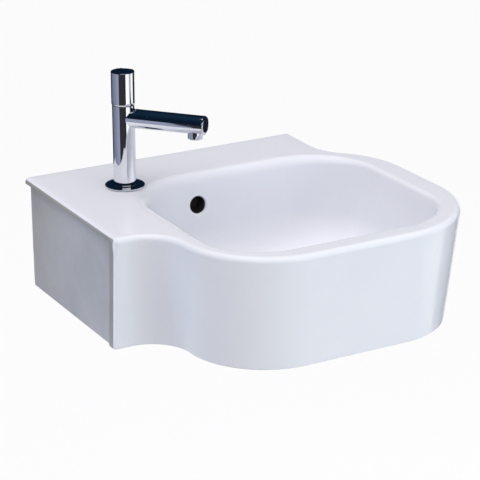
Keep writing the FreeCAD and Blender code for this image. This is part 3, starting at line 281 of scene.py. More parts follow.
def bowl_edge():
    """The bowl's edge at the top and its inward directions, matched to the outline's columns.

    A column's place is its length along the rounded rectangle. A loop at an inset w is the edge
    plus w times the inward direction, since all its corners keep their centres.
    """
    places = np.concatenate([mix(MATCHES[i], MATCHES[i + 1], np.arange(count) / count)
                             for i, count in enumerate(COUNTS)])
    places = places % sum(piece[4] for piece in BOWL_EDGE)
    points = np.zeros((len(places), 2))
    inward = np.zeros((len(places), 2))
    start = 0.0
    for kind, place, second, third, length in BOWL_EDGE:
        chosen = (places >= start) & (places < start + length)
        along = places[chosen] - start
        if kind == "arc":
            angle = np.radians(third + 90 * along / length)
            ray = np.stack([np.cos(angle), np.sin(angle)], axis=-1)
            points[chosen] = np.array(place) + second * ray
            inward[chosen] = -ray
        else:
            points[chosen] = np.array(place) + along[:, None] * np.array(second)
            inward[chosen] = np.array(third)
        start += length
    return points, inward


def at_level(plan, level):
    """Plan points at one level, or each at its own level."""
    return np.column_stack([plan, np.broadcast_to(level, len(plan))])


def from_drain(plan):
    """The unit directions from the drain to plan points, and their distances."""
    away = plan - DRAIN
    reach = np.linalg.norm(away, axis=1)
    return away / reach[:, None], reach


def lean_in(level):
    """How far the bowl's wall stands inside the bowl's edge at a level."""
    return BOWL_LEAN * (TOP - level)


def floor_rows(edge, inward):
    """Loops from the drain's bore over the seat and the floor, and round the turn into the wall.

    The floor falls to the seat by a smoothstep of the radius, over 25 mm or up to the turn. The
    turn is an arc whose inset and level go with the angle's sine and cosine.
    """
    fall_start, fall_length = 33, 25
    ray, reach = from_drain(edge + inward * TURN_INSET)
    rows = [at_level(DRAIN + ray * radius, level) for radius, level in SEAT]
    for part in (0.03, 0.08, 0.14, 0.21, 0.3, 0.4, 0.52, 0.64, 0.76, 0.88):
        radius = mix(SEAT[-1][0], reach, part)
        risen = smoothstep((radius - fall_start) / np.minimum(fall_length, reach - 34.5))
        rows.append(at_level(DRAIN + ray * radius[:, None], FLOOR - FLOOR_FALL * (1 - risen)))
    for angle in TURN * np.linspace(0, 1, 15):
        loop = edge + inward * (TURN_INSET - TURN_RADIUS * math.sin(angle))
        rows.append(at_level(loop, FLOOR + TURN_RADIUS * (1 - math.cos(angle))))
    return rows


def wall_rows(edge, inward):
    """Loops up the bowl's leaning wall, with the overflow's patch at its own step."""
    patch = OVERFLOW_LEVEL + PATCH_STEP * np.arange(-PATCH_HALF, PATCH_HALF + 1)
    levels = np.concatenate([WALL_FOOT, patch, [WALL_HEAD]])
    return [at_level(edge + inward * lean_in(level), level) for level in levels]


def rim_rows(edge, inward):
    """Loops over the rim from the wall to the deck, and the deck's inner loop in plan.

    The rim is an arc through the wall's turn. Its radius goes with the direction by a cosine, from
    16 mm at the back left to 5 mm at the front right.
    """
    direction = np.arctan2(-inward[:, 1], -inward[:, 0])
    radius = 10.5 + 5.5 * np.cos(direction - math.radians(135))
    tangent = radius * math.tan(TURN / 2)
    rows = []
    for angle in TURN * np.linspace(1, 0, 11):
        offset = radius * math.sin(angle) - tangent
        level = TOP - radius * (1 - math.cos(angle))
        rows.append(at_level(edge + inward * offset[:, None], level))
    return rows, edge - inward * tangent[:, None]


def deck_rows(inner):
    """Loops across the flat deck and round its edge, an arc that ends along the leaning skirt."""
    top = outline(0.0)
    into = outline(0.0, 1.0, 1.0, 6.0) - top
    into /= np.linalg.norm(into, axis=1)[:, None]
    skirt_lean = np.arctan2(np.einsum("ij,ij->i", outline(HEIGHT) - top, into), HEIGHT)
    sweep = math.pi / 2 + skirt_lean
    tangent = DECK_EDGE * np.tan(sweep / 2)
    outer = top + into * tangent[:, None]
    rows = [at_level(mix(inner, outer, part), TOP) for part in np.linspace(0, 1, 8)[1:-1]]
    for part in np.linspace(0, 1, 10):
        angle = sweep * part
        loop = top + into * (tangent - DECK_EDGE * np.sin(angle))[:, None]
        rows.append(at_level(loop, TOP - DECK_EDGE * (1 - np.cos(angle))))
    return rows


def panel_shares():
    """How far each column is let in with the side panel, 0 to 1, and its shift along the side.

    Across the strip the share falls in a step with soft corners, and the shift, in mm, squares it.
    """
    let_in = np.zeros(sum(COUNTS))
    let_in[:PANEL_END] = 1
    let_in[PANEL_END:STRIP_END] = (0.995, 0.985, 0.95, 0.5, 0.05, 0.015, 0.004, 0.0, 0.0)
    shift = np.zeros(sum(COUNTS))
    shift[PANEL_END:STRIP_END] = (-0.9, -0.95, -0.5, -0.06, 0.26, 0.4, 0.8, 0.9, 0.0)
    return let_in, shift


def skirt_rows(let_in, shift):
    """Loops down the skirt's outside: the outline, with the panel's columns set in to its plane."""
    rows = []
    below = tuple((level, level, 1) for level in np.linspace(SKIRT_START, FOOT, SKIRT_LOOPS))
    for level, panel_level, depth_part in PANEL_LIP + below:
        plan = outline(TOP - level)
        x = mix(plan[:, 0], np.maximum(PANEL_X, plan[:, 0]), let_in * depth_part)
        y = plan[:, 1] + shift * depth_part
        rows.append(np.column_stack([x, y, mix(level, panel_level, let_in)]))
    return rows


def inside_plan(level, let_in):
    """The skirt's inside in plan at a level: the outline less the walls, and behind the panel."""
    plan = outline(TOP - level, WALL, BACK_WALL)
    plan[:, 0] = mix(plan[:, 0], np.maximum(PANEL_X + PANEL_WALL, plan[:, 0]), let_in)
    return plan


def foot_rows(outside, inside):
    """Loops round the skirt's bottom: a quarter circle, a flat and a quarter circle."""
    rows = []
    for angle in QUARTER[1:]:
        part = FOOT_ROUND * (1 - math.cos(angle)) / WALL
        rows.append(at_level(mix(outside, inside, part), FOOT - FOOT_ROUND * math.sin(angle)))
    for angle in QUARTER:
        part = 1 - FOOT_ROUND * (1 - math.sin(angle)) / WALL
        rows.append(at_level(mix(outside, inside, part), FOOT - FOOT_ROUND * math.cos(angle)))
    return rows


def roof_rows(skirt_top, shell_top):
    """Loops across the deck's underside, with an arc of up to 7 mm in the corner at each end."""
    gap = np.linalg.norm(shell_top - skirt_top, axis=1)
    soft = np.minimum(7.0, gap * 0.4)

    def corner(angle, at_skirt):
        """One loop of an end's arc: in plan it goes with the cosine, in level with the sine."""
        share = soft * (1 - math.cos(angle)) / gap
        plan = mix(skirt_top, shell_top, (share if at_skirt else 1 - share)[:, None])
        return at_level(plan, ROOF - soft * (1 - math.sin(angle)))

    return ([corner(angle, True) for angle in QUARTER[1:]]
            + [at_level(mix(skirt_top, shell_top, 0.5), ROOF)]
            + [corner(angle, False) for angle in QUARTER[:0:-1]])


def duct_share():
    """1 for the back's columns in the overflow's duct, 0 for the others, by a smoothstep in x."""
    half, blend, back_end = 17.4, 3.2, -50
    top = outline(0.0)
    share = 1 - smoothstep((np.abs(top[:, 0]) - half) / blend)
    share[top[:, 1] < back_end] = 0
    return share


def shell_rows(edge, inward, duct):
    """Loops down the bowl's outside, round its turn and in to the boss round the drain.

    The bowl's columns keep its thickness on the wall and follow an arc below it. The duct's columns
    fall upright at its back face and follow their own path forward. In the boss, each loop lies
    part of the way from there to a circle, in distance and in direction.
    """
    rows = []

    def shell_row(inset, level, duct_y, duct_level):
        """One loop at an inset and a level, with the duct's columns at theirs."""
        plan = edge + inward * inset
        y = mix(plan[:, 1], duct_y, duct)
        rows.append(np.column_stack([plan[:, 0], y, mix(level, duct_level, duct)]))

    high, turn_level, duct_low = 38.0, 11.0, -60.0
    for part in np.linspace(0, 1, 6):
        level = mix(high, turn_level, part)
        shell_row(lean_in(level) - WALL, level, DUCT_BACK, mix(high, duct_low, part))
    for index, (duct_y, duct_level) in enumerate(DUCT_PATH):
        angle = TURN * (1 - index / (len(DUCT_PATH) - 1))
        shell_row(SHELL_INSET - SHELL_TURN * math.sin(angle),
                  SHELL_BOTTOM + SHELL_TURN * (1 - math.cos(angle)), duct_y, duct_level)

    start = edge + inward * SHELL_INSET
    start[:, 1] = mix(start[:, 1], DUCT_PATH[-1][0], duct)
    away, far = from_drain(start)
    ray, _ = from_drain(edge + inward * TURN_INSET)
    for part, level in BOSS_SIDE:
        aim = mix(away, ray, part)
        aim /= np.linalg.norm(aim, axis=1)[:, None]
        plan = DRAIN + aim * mix(far, BOSS_RADIUS, part)[:, None]
        rows.append(at_level(plan, mix(level, BOSS_BOTTOM, duct)))
    for radius, level in BOSS_EDGE:
        rows.append(at_level(DRAIN + ray * radius, mix(level, BOSS_BOTTOM, duct)))
    for radius, level in BORE_EDGE:
        rows.append(at_level(DRAIN + ray * radius, level))
    return rows


def basin_surface():
    """The whole ceramic as one closed loop of loops, and the rows where patch and skirt start.

    Its section runs from the drain up over the seat and the floor, by the turn into the leaning
    wall, over the soft rim, the flat deck and its edge, down the leaning skirt with the side panel
    let into it, round the bottom edge, up the inside to the roof, down the bowl's outside and back
    to the drain. The overflow is a round hole pressed into the back wall's grid.
    """
    edge, inward = bowl_edge()
    let_in, shift = panel_shares()
    duct = duct_share()

    rows = floor_rows(edge, inward)
    patch_start = len(rows) + len(WALL_FOOT)
    rows += wall_rows(edge, inward)
    rim, deck_inner = rim_rows(edge, inward)
    rows += rim + deck_rows(deck_inner)
    skirt_start = len(rows)
    rows += skirt_rows(let_in, shift)
    rows += foot_rows(rows[-1][:, :2], inside_plan(TOP - HEIGHT, let_in))
    rows += [at_level(inside_plan(level, let_in), level) for level in INSIDE_LEVELS]
    shell_top = edge + inward * (lean_in(ROOF) - WALL)
    shell_top[:, 1] = mix(shell_top[:, 1], DUCT_BACK, duct)
    rows += roof_rows(rows[-1][:, :2], shell_top)
    rows += shell_rows(edge, inward, duct)

    surface = np.stack(rows)
    press_overflow(surface, patch_start)
    return surface, patch_start, skirt_start


def press_overflow(surface, first_row):
    """A round hole, 20 mm deep and with a soft edge, in the square patch of the back wall's grid.

    Each square ring of the patch becomes a circle of its own radius and depth; the outer three
    blend back into the grid.
    """
    steps = np.arange(1 - PATCH_HALF, PATCH_HALF)
    row, column = np.meshgrid(steps, steps, indexing="ij")
    ring = np.maximum(np.abs(row), np.abs(column))
    radius, depth = np.array(OVERFLOW).T[:, ring]
    angle = np.arctan2(row, -column)
    across = radius * np.cos(angle)
    level = OVERFLOW_LEVEL + radius * np.sin(angle)
    pressed = np.stack([across, BOWL_BACK - lean_in(level) + depth, level], axis=-1)
    weight = np.ones(PATCH_HALF)
    weight[-3:] = (0.8, 0.55, 0.28)
    patch = surface[first_row + 1:first_row + 2 * PATCH_HALF,
                    PATCH_COLUMN + 1:PATCH_COLUMN + 2 * PATCH_HALF]
    patch[:] = mix(patch, pressed, weight[ring][..., None])


def face_numbers(rows, columns, width):
    """The numbers of the quads in some rows and columns of a grid that is width quads round."""
    return (np.asarray(rows)[:, None] * width + np.asarray(columns)).ravel()


def paint_shade_on_faces(basin, finish, numbers):
    """Give some of the basin's faces a material of their own, each one carrying painted shade in
    its colour.
    """
    mesh = basin.data
    mesh.materials.append(finish)
    slots = np.zeros(len(mesh.polygons), dtype=np.int32)
    mesh.polygons.foreach_get("material_index", slots)
    slots[numbers] = len(mesh.materials) - 1
    mesh.polygons.foreach_set("material_index", slots)


def shade_side_panel(basin, skirt_start, width):
    """The side panel is matt, with a darker colour that is painted shade, and its lip and the face
    of the strip beside it are painted darker still as shade.

    The painted shade starts 5 loops up the deck's edge, where the lip's face begins, and ends 2
    loops round the bottom edge. The lip's face takes the first 4 loops of the skirt.
    """
    first = skirt_start - 5
    lip = np.arange(first, skirt_start + 4)
    rows = np.arange(first, skirt_start + len(PANEL_LIP) + SKIRT_LOOPS + 2)
    columns = np.arange(STRIP_END + 1)
    paint_shade_on_faces(basin, SIDE_SHADE_MATT, face_numbers(rows, columns, width))
    paint_shade_on_faces(basin, LIP_EDGE_SHADE, np.concatenate([
        face_numbers(lip, columns, width), face_numbers(rows, columns[PANEL_END:], width)]))


def darken_channel(basin, patch_start, width):
    """The inside of the overflow, behind its first 4 mm, is painted near black as the shade of the
    unlit channel.
    """
    around = PATCH_HALF + np.arange(-CHANNEL_RINGS, CHANNEL_RINGS)
    paint_shade_on_faces(basin, CHANNEL, face_numbers(patch_start + around, PATCH_COLUMN + around, width))


# ---------------------------------------------------------------- turned pieces

def turned(profile, steps=96, ripple=None):
    """A closed surface of revolution round +Z from (radius, height) pairs.

    Each pair becomes a ring of steps points. A first or last radius of 0 closes it with a pole.
    ripple(angle, height, radius) may change the radius, for threads and flats.
    """
    profile = np.asarray(profile, dtype=float)
    angle = np.arange(steps) * 2 * math.pi / steps
    poles = [profile[0][0] == 0, profile[-1][0] == 0]
    body = profile[1 if poles[0] else 0: len(profile) - 1 if poles[1] else len(profile)]
    radius = np.repeat(body[:, :1], steps, axis=1)
    height = np.repeat(body[:, 1:], steps, axis=1)
    if ripple is not None:
        radius = ripple(angle[None, :], height, radius)
    vertices = np.stack([radius * np.cos(angle), radius * np.sin(angle), height], axis=-1)
    vertices = vertices.reshape(-1, 3)
    wrap = not poles[0] and not poles[1]
    faces = grid_faces(len(body), steps, wrap_rows=wrap).tolist()
    if poles[0]:
        vertices = np.vstack([vertices, [0, 0, profile[0][1]]])
        pole = len(vertices) - 1
        faces += [[pole, (k + 1) % steps, k] for k in range(steps)]
    if poles[1]:
        vertices = np.vstack([vertices, [0, 0, profile[-1][1]]])
        pole = len(vertices) - 1
        base = (len(body) - 1) * steps
        faces += [[base + k, base + (k + 1) % steps, pole] for k in range(steps)]
    return vertices, outward(vertices, faces)


def softened(corners, radius=0.5, steps=4):
    """A profile whose inner corners are replaced by small quadratic curves.

    Each corner is a radius and a height, and may add a softening of its own.
    """
    points = []
    total = len(corners)
    for index, corner in enumerate(corners):
        here = np.array(corner[:2], dtype=float)
        size = corner[2] if len(corner) > 2 else radius
        if index in (0, total - 1) or size == 0:
            points.append(here)
            continue
        before = np.array(corners[index - 1][:2], dtype=float) - here
        after = np.array(corners[index + 1][:2], dtype=float) - here
        size = min(size, np.linalg.norm(before) * 0.45, np.linalg.norm(after) * 0.45)
        start = here + before / np.linalg.norm(before) * size
        end = here + after / np.linalg.norm(after) * size
        for part in np.linspace(0, 1, steps + 1):
            points.append((1 - part) ** 2 * start + 2 * part * (1 - part) * here + part ** 2 * end)
    return points


def moved(vertices, place, lean=None):
    """Vertices in mm, first turned by a 3 x 3 matrix if one is given, then moved."""
    vertices = np.asarray(vertices)
    if lean is not None:
        vertices = vertices @ np.asarray(lean).T
    return vertices + np.asarray(place)


def thread(pitch, depth, low, high, lead=2.5):
    """A ripple that cuts a symmetric V thread between two heights, fading over the lead.

    The groove's depth is a triangle wave of the height in pitches less the angle in turns.
    """
    def ripple(angle, height, radius):
        phase = (height / pitch - angle / (2 * math.pi)) % 1.0
        groove = np.abs(phase * 2 - 1)
        inside = np.clip((height - low) / lead, 0, 1) * np.clip((high - height) / lead, 0, 1)
        return radius - depth * groove * inside
    return ripple


def hexagon(flats, low, high, chamfer, round_part):
    """A ripple that turns a cylinder into a hexagon with chamfered ends.

    The radius is the distance to the nearest flat, cut by a cone at each end. Radii below
    round_part are kept.
    """
    def ripple(angle, height, radius):
        sector = (angle + math.pi / 6) % (math.pi / 3) - math.pi / 6
        flat = flats / 2 / np.cos(sector)
        tip = flats / math.sqrt(3)
        near_end = np.minimum(height - low, high - height)
        cone = tip - chamfer + near_end * 1.9
        shaped = np.minimum(flat, np.maximum(cone, flats / 2 * 0.97))
        return np.where(radius > round_part, shaped * radius / tip, radius)
    return ripple


# ---------------------------------------------------------------- materials

def shader_group(name, inputs, outputs):
    """An empty node group with float inputs (name, default) and outputs (name, kind)."""
    tree = bpy.data.node_groups.new(name, "ShaderNodeTree")
    for label, default in inputs:
        socket = tree.interface.new_socket(label, in_out="INPUT", socket_type="NodeSocketFloat")
        socket.default_value = default
    for label, kind in outputs:
        tree.interface.new_socket(label, in_out="OUTPUT", socket_type=kind)
    return tree, tree.nodes.new("NodeGroupInput"), tree.nodes.new("NodeGroupOutput")


def remap(tree, source, low, high, out_low=0.0, out_high=1.0):
    """Maps a value from one range to another, clamped."""
    node = tree.nodes.new("ShaderNodeMapRange")
    for socket, value in zip(node.inputs[1:5], (low, high, out_low, out_high)):
        socket.default_value = value
    tree.links.new(source, node.inputs[0])
    return node.outputs[0]


def maths(tree, operation, first, second):
    """One math node; each operand is a socket or a number."""
    node = tree.nodes.new("ShaderNodeMath")
    node.operation = operation
    for socket, operand in zip(node.inputs, (first, second)):
        if isinstance(operand, (int, float)):
            socket.default_value = operand
        else:
            tree.links.new(operand, socket)
    return node.outputs[0]


def mottle_group():
    """Broad clouds, a fine grain and small specks, all from the object's own coordinates."""
    tree, given, result = shader_group(
        "Mottle", (("Scale", 1.0),),
        (("Cloud", "NodeSocketFloat"), ("Grain", "NodeSocketFloat"), ("Speck", "NodeSocketFloat")))
    place = tree.nodes.new("ShaderNodeTexCoord")
    cloud, grain = (26.0, 4.0, 0.34, 0.66), (420.0, 3.0, 0.3, 0.7)
    for index, (size, detail, low, high) in enumerate((cloud, grain)):
        noise = tree.nodes.new("ShaderNodeTexNoise")
        noise.inputs["Detail"].default_value = detail
        tree.links.new(place.outputs["Object"], noise.inputs["Vector"])
        tree.links.new(maths(tree, "MULTIPLY", given.outputs["Scale"], size), noise.inputs["Scale"])
        tree.links.new(remap(tree, noise.outputs[0], low, high), result.inputs[index])
    cells = tree.nodes.new("ShaderNodeTexVoronoi")
    tree.links.new(place.outputs["Object"], cells.inputs["Vector"])
    tree.links.new(maths(tree, "MULTIPLY", given.outputs["Scale"], 260.0), cells.inputs["Scale"])
    tree.links.new(remap(tree, cells.outputs["Distance"], 0.16, 0.05), result.inputs[2])
    return tree


def lathe_group():
    """Fine rings round the tap's and the waste's upright axes, as a polishing wheel leaves them."""
    tree, given, result = shader_group(
        "TurnedRings", (("Pitch", 1.0),), (("Rings", "NodeSocketFloat"),))
    place = tree.nodes.new("ShaderNodeTexCoord")
    split = tree.nodes.new("ShaderNodeSeparateXYZ")
    tree.links.new(place.outputs["Object"], split.inputs[0])
    noise = tree.nodes.new("ShaderNodeTexNoise")
    noise.noise_dimensions = "1D"
    noise.inputs["Detail"].default_value = 5.0
    height = maths(tree, "MULTIPLY", split.outputs[2], given.outputs["Pitch"])
    tree.links.new(height, noise.inputs["W"])
    noise.inputs["Scale"].default_value = 900.0
    tree.links.new(remap(tree, noise.outputs[0], 0.3, 0.7), result.inputs[0])
    return tree


MOTTLE = mottle_group()
RINGS = lathe_group()


def cleared(owner, output_kind="ShaderNodeOutputMaterial"):
    """The emptied node tree of a material or a world, with a new output node in it."""
    owner.use_nodes = True
    tree = owner.node_tree
    tree.nodes.clear()
    return tree, tree.nodes.new(output_kind)


def two_tones(tree, first, second, share):
    """A colour that goes from the first to the second with a share."""
    tone = tree.nodes.new("ShaderNodeMix")
    tone.data_type = "RGBA"
    tone.inputs[6].default_value = (*first, 1)
    tone.inputs[7].default_value = (*second, 1)
    tree.links.new(share, tone.inputs[0])
    return tone.outputs[2]


def material(name, colour, second, roughness, spread, scale=1.0, metallic=0.0, rings=0.0,
             bump=0.02, speck=None, speck_part=0.0, sheen=0.0, through=0.0):
    """A surface whose colour drifts between two tones, with grain in its roughness and a relief.

    speck is the colour of small spots, rings the share of turned marks in roughness and relief, and
    through the share of light that goes a little way in.
    """
    made = bpy.data.materials.new(name)
    tree, output = cleared(made)
    shader = tree.nodes.new("ShaderNodeBsdfPrincipled")
    tree.links.new(shader.outputs[0], output.inputs[0])
    shader.inputs["Metallic"].default_value = metallic
    shader.inputs["Sheen Weight"].default_value = sheen
    shader.inputs["Subsurface Weight"].default_value = through
    shader.inputs["Subsurface Scale"].default_value = 0.004
    mottle = tree.nodes.new("ShaderNodeGroup")
    mottle.node_tree = MOTTLE
    mottle.inputs["Scale"].default_value = scale
    shown = two_tones(tree, colour, second, mottle.outputs["Cloud"])
    if speck is not None:
        spots = tree.nodes.new("ShaderNodeMix")
        spots.data_type = "RGBA"
        spots.inputs[7].default_value = (*speck, 1)
        share = maths(tree, "MULTIPLY", mottle.outputs["Speck"], speck_part)
        tree.links.new(share, spots.inputs[0])
        tree.links.new(shown, spots.inputs[6])
        shown = spots.outputs[2]
    tree.links.new(shown, shader.inputs["Base Color"])
    relief = mottle.outputs["Grain"]
    if rings:
        marks = tree.nodes.new("ShaderNodeGroup")
        marks.node_tree = RINGS
        relief = maths(tree, "ADD", maths(tree, "MULTIPLY", relief, 1 - rings),
                       maths(tree, "MULTIPLY", marks.outputs["Rings"], rings))
    drift = maths(tree, "ADD", maths(tree, "MULTIPLY", relief, 0.6),
                  maths(tree, "MULTIPLY", mottle.outputs["Cloud"], 0.4))
    tree.links.new(remap(tree, drift, 0, 1, roughness - spread, roughness + spread),
                   shader.inputs["Roughness"])
    bumps = tree.nodes.new("ShaderNodeBump")
    bumps.inputs["Strength"].default_value = bump
    bumps.inputs["Distance"].default_value = 0.0005
    tree.links.new(relief, bumps.inputs["Height"])
    tree.links.new(bumps.outputs[0], shader.inputs["Normal"])
    return made


GLAZE = material("glaze", (0.80, 0.815, 0.865), (0.775, 0.79, 0.845), 0.17, 0.04, scale=0.35,
                 bump=0.012)
# Matt side panel: its darker, warmer colour is painted shade where the panel faces away from the
# lamps.
SIDE_SHADE_MATT = material("matt_side_painted_shade", (0.46, 0.445, 0.44), (0.39, 0.38, 0.38), 0.5, 0.1, scale=0.6,
                   bump=0.08, speck=(0.60, 0.60, 0.62), speck_part=0.2)
# Lip's face and strip's face: a darker colour still, painted shade.
LIP_EDGE_SHADE = material("matt_edge_painted_shade", (0.34, 0.325, 0.30), (0.30, 0.29, 0.27), 0.45, 0.1, scale=0.6,
                bump=0.05, speck=(0.46, 0.45, 0.44), speck_part=0.15)
# Near black colour inside the overflow: painted shade.
CHANNEL = material("unlit_channel", (0.010, 0.009, 0.008), (0.030, 0.027, 0.024), 0.7, 0.1,
                   bump=0.1)
CHROME = material("polished_chrome", (0.80, 0.81, 0.84), (0.76, 0.77, 0.80), 0.05, 0.02,
                  metallic=1.0, rings=0.4, bump=0.004, scale=1.5)
ZINC = material("zinc_plate", (0.60, 0.62, 0.64), (0.46, 0.48, 0.51), 0.34, 0.10, metallic=1.0,
                bump=0.05, scale=2.2, speck=(0.36, 0.36, 0.34), speck_part=0.5)
BRASS = material("brass", (0.62, 0.46, 0.20), (0.46, 0.31, 0.12), 0.30, 0.09, metallic=1.0,
                 rings=0.5, bump=0.04, scale=2.0, speck=(0.20, 0.13, 0.06), speck_part=0.45)
BLACK_RUBBER = material("black_rubber", (0.022, 0.022, 0.024), (0.040, 0.039, 0.038), 0.62, 0.12,
                        bump=0.12, scale=2.5, speck=(0.11, 0.11, 0.105), speck_part=0.3, sheen=0.1)
GREY_RUBBER = material("grey_rubber", (0.16, 0.165, 0.17), (0.21, 0.21, 0.212), 0.58, 0.10,
                       bump=0.10, scale=2.5, speck=(0.30, 0.30, 0.29), speck_part=0.25)
NYLON = material("white_nylon", (0.76, 0.75, 0.71), (0.70, 0.68, 0.63), 0.38, 0.07, bump=0.05,
                 scale=2.0, rings=0.3, speck=(0.58, 0.56, 0.50), speck_part=0.2, through=0.15)
PLASTIC = material("grey_plastic", (0.30, 0.31, 0.33), (0.25, 0.26, 0.28), 0.40, 0.08, bump=0.06,
                   scale=2.2, speck=(0.38, 0.38, 0.39), speck_part=0.25)
CERAMIC = material("valve_ceramic", (0.78, 0.77, 0.73), (0.72, 0.71, 0.66), 0.14, 0.05, bump=0.015,
                   scale=3.0, speck=(0.60, 0.58, 0.52), speck_part=0.35)
SPRING = material("spring_steel", (0.50, 0.50, 0.51), (0.38, 0.38, 0.40), 0.28, 0.10, metallic=1.0,
                  bump=0.05, scale=4.0, speck=(0.22, 0.20, 0.18), speck_part=0.3)
BY_SLOT = {"white_glaze": GLAZE, "chrome": CHROME, "zinc_steel": ZINC, "raw_brass": BRASS,
           "black_rubber": BLACK_RUBBER, "grey_rubber": GREY_RUBBER, "white_nylon": NYLON,
           "grey_plastic": PLASTIC, "valve_ceramic": CERAMIC, "spring_steel": SPRING}


def dress_nodes():
    """Give every node carried over from the construction the finish of its own slot."""
    for part in frame["record"]["subparts"]:
        node = NODES.get(part["node"])
        if node is None:
            continue
        for place in node.material_slots:
            place.link = "OBJECT"
            place.material = BY_SLOT[part["material_slot"]]


# ---------------------------------------------------------------- the tap and the fixings

AXIS = (-94.3, -91.4)
PILLAR_RADIUS = 13.5
HANDLE_RADIUS = 14.2
SCREW_LEVEL = 174.0
SPOUT_TURN = math.radians(-49.03)
SPOUT_RADIUS = 11.5
SPOUT_LEVEL = 146.0
SPOUT_REACH = 104.0
OUTLET_REACH = 91.0     # from the tap's axis to the aerator's
BOLT_SIDE = 140.0       # from the middle to each wall bolt
BOLT_RADIUS = 4.95      # of the machine thread, in front of the wall
SCREW_RADIUS = 4.5      # of the wood thread, in the wall
SHANK_RADIUS = 10.35
SHANK_NECK = 11.5       # the shank's upper part


def pillar_pieces():
    """Pillar, base flange and handle: profiles with soft corners, turned round the tap's axis.

    The handle's radius is pressed in round the grub screw by a smoothstep of the distance.
    """
    place = (*AXIS, 0)
    shape, faces = turned(softened([
        (0, 63.2), (PILLAR_RADIUS, 63.2, 0.2), (PILLAR_RADIUS, 162.0, 0.5), (11.4, 162.0, 0.2),
        (11.2, 161.0, 0.2), (0, 161.0)]), 128)
    add_mesh("pillar", moved(shape, place), faces, CHROME, "basin", ["tap_body"])

    flange = softened([(12.2, 61.9), (12.2, 60.9, 0.1), (24.0, 60.9, 0.15), (24.0, 62.4, 0.35),
                       (14.4, 62.95, 0.3), (12.2, 62.95, 0.1), (12.2, 61.9)], steps=5)[:-1]
    shape, faces = turned(flange, 144)
    add_mesh("base_flange", moved(shape, place), faces, CHROME, "basin", ["tap_flange"])

    def dimple(angle, height, radius):
        """The grub screw's hole, opposite the spout."""
        back = math.pi + SPOUT_TURN
        around = (angle - back + math.pi) % (2 * math.pi) - math.pi
        distance = np.hypot(around * HANDLE_RADIUS, height - SCREW_LEVEL)
        return radius - 2.6 * smoothstep((2.5 - distance) / 0.7) * (radius > HANDLE_RADIUS - 0.2)

    heights = np.concatenate([np.linspace(163.2, 170.8, 4), np.linspace(171.2, 176.8, 20),
                              np.linspace(178, 201.2, 6)])
    profile = [(0, 162.7), (12.6, 162.7), (13.6, 162.75), (14.05, 162.9)]
    profile += [(HANDLE_RADIUS, height) for height in heights]
    profile += [(HANDLE_RADIUS, 201.8), (14.1, 202.2), (13.85, 202.47), (13.5, 202.6), (9, 202.6),
                (4, 202.6), (0, 202.6)]
    shape, faces = turned(profile, 160, dimple)
    add_mesh("handle", moved(shape, place), faces, CHROME, "handle", ["tap_handle"])


def spout_pieces():
    """The spout, of rings along a level line, and the aerator's collar, turned round +Z under it.

    At each angle the first ring starts where the pillar's surface is, at the root of the pillar's
    radius squared less the ring's sideways distance squared.
    """
    along = np.array([math.cos(SPOUT_TURN), math.sin(SPOUT_TURN), 0])
    aside = np.array([-math.sin(SPOUT_TURN), math.cos(SPOUT_TURN), 0])
    up = np.array([0.0, 0.0, 1.0])
    steps = 128
    angle = np.arange(steps) * 2 * math.pi / steps
    sideways = SPOUT_RADIUS * np.cos(angle)
    rings = [(np.sqrt(PILLAR_RADIUS ** 2 - sideways ** 2) - 0.25, SPOUT_RADIUS)]
    rings += [(np.full(steps, reach), SPOUT_RADIUS) for reach in (16, 30, 50, 70, 90, 102.4)]
    rings += [(np.full(steps, SPOUT_REACH - back), radius) for back, radius in (
        (1.1, 11.42), (0.65, 11.2), (0.3, 10.85), (0.08, 10.4), (0, 9.9), (0, 7), (0, 3))]
    ray = np.cos(angle)[:, None] * aside + np.sin(angle)[:, None] * up
    shape = np.concatenate([reach[:, None] * along + radius * ray for reach, radius in rings]
                           + [np.array([4 * along, SPOUT_REACH * along])])
    faces = grid_faces(len(rings), steps).tolist()
    inner, outer = len(rings) * steps, len(rings) * steps + 1
    base = (len(rings) - 1) * steps
    faces += [[inner, (k + 1) % steps, k] for k in range(steps)]
    faces += [[base + k, base + (k + 1) % steps, outer] for k in range(steps)]
    add_mesh("spout", moved(shape, (*AXIS, SPOUT_LEVEL)), outward(shape, faces), CHROME,
             "basin", ["tap_spout"])

    collar = softened([(7.6, 134), (7.6, 129.1, 0.3), (9.0, 129.1, 0.5), (9.0, 142, 0.3),
                       (7.6, 142, 0.3), (7.6, 134)])[:-1]
    shape, faces = turned(collar, 96)
    outlet = moved(OUTLET_REACH * along, (*AXIS, 0))
    add_mesh("aerator_collar", moved(shape, outlet), faces, CHROME, "basin",
             ["aerator_housing"])


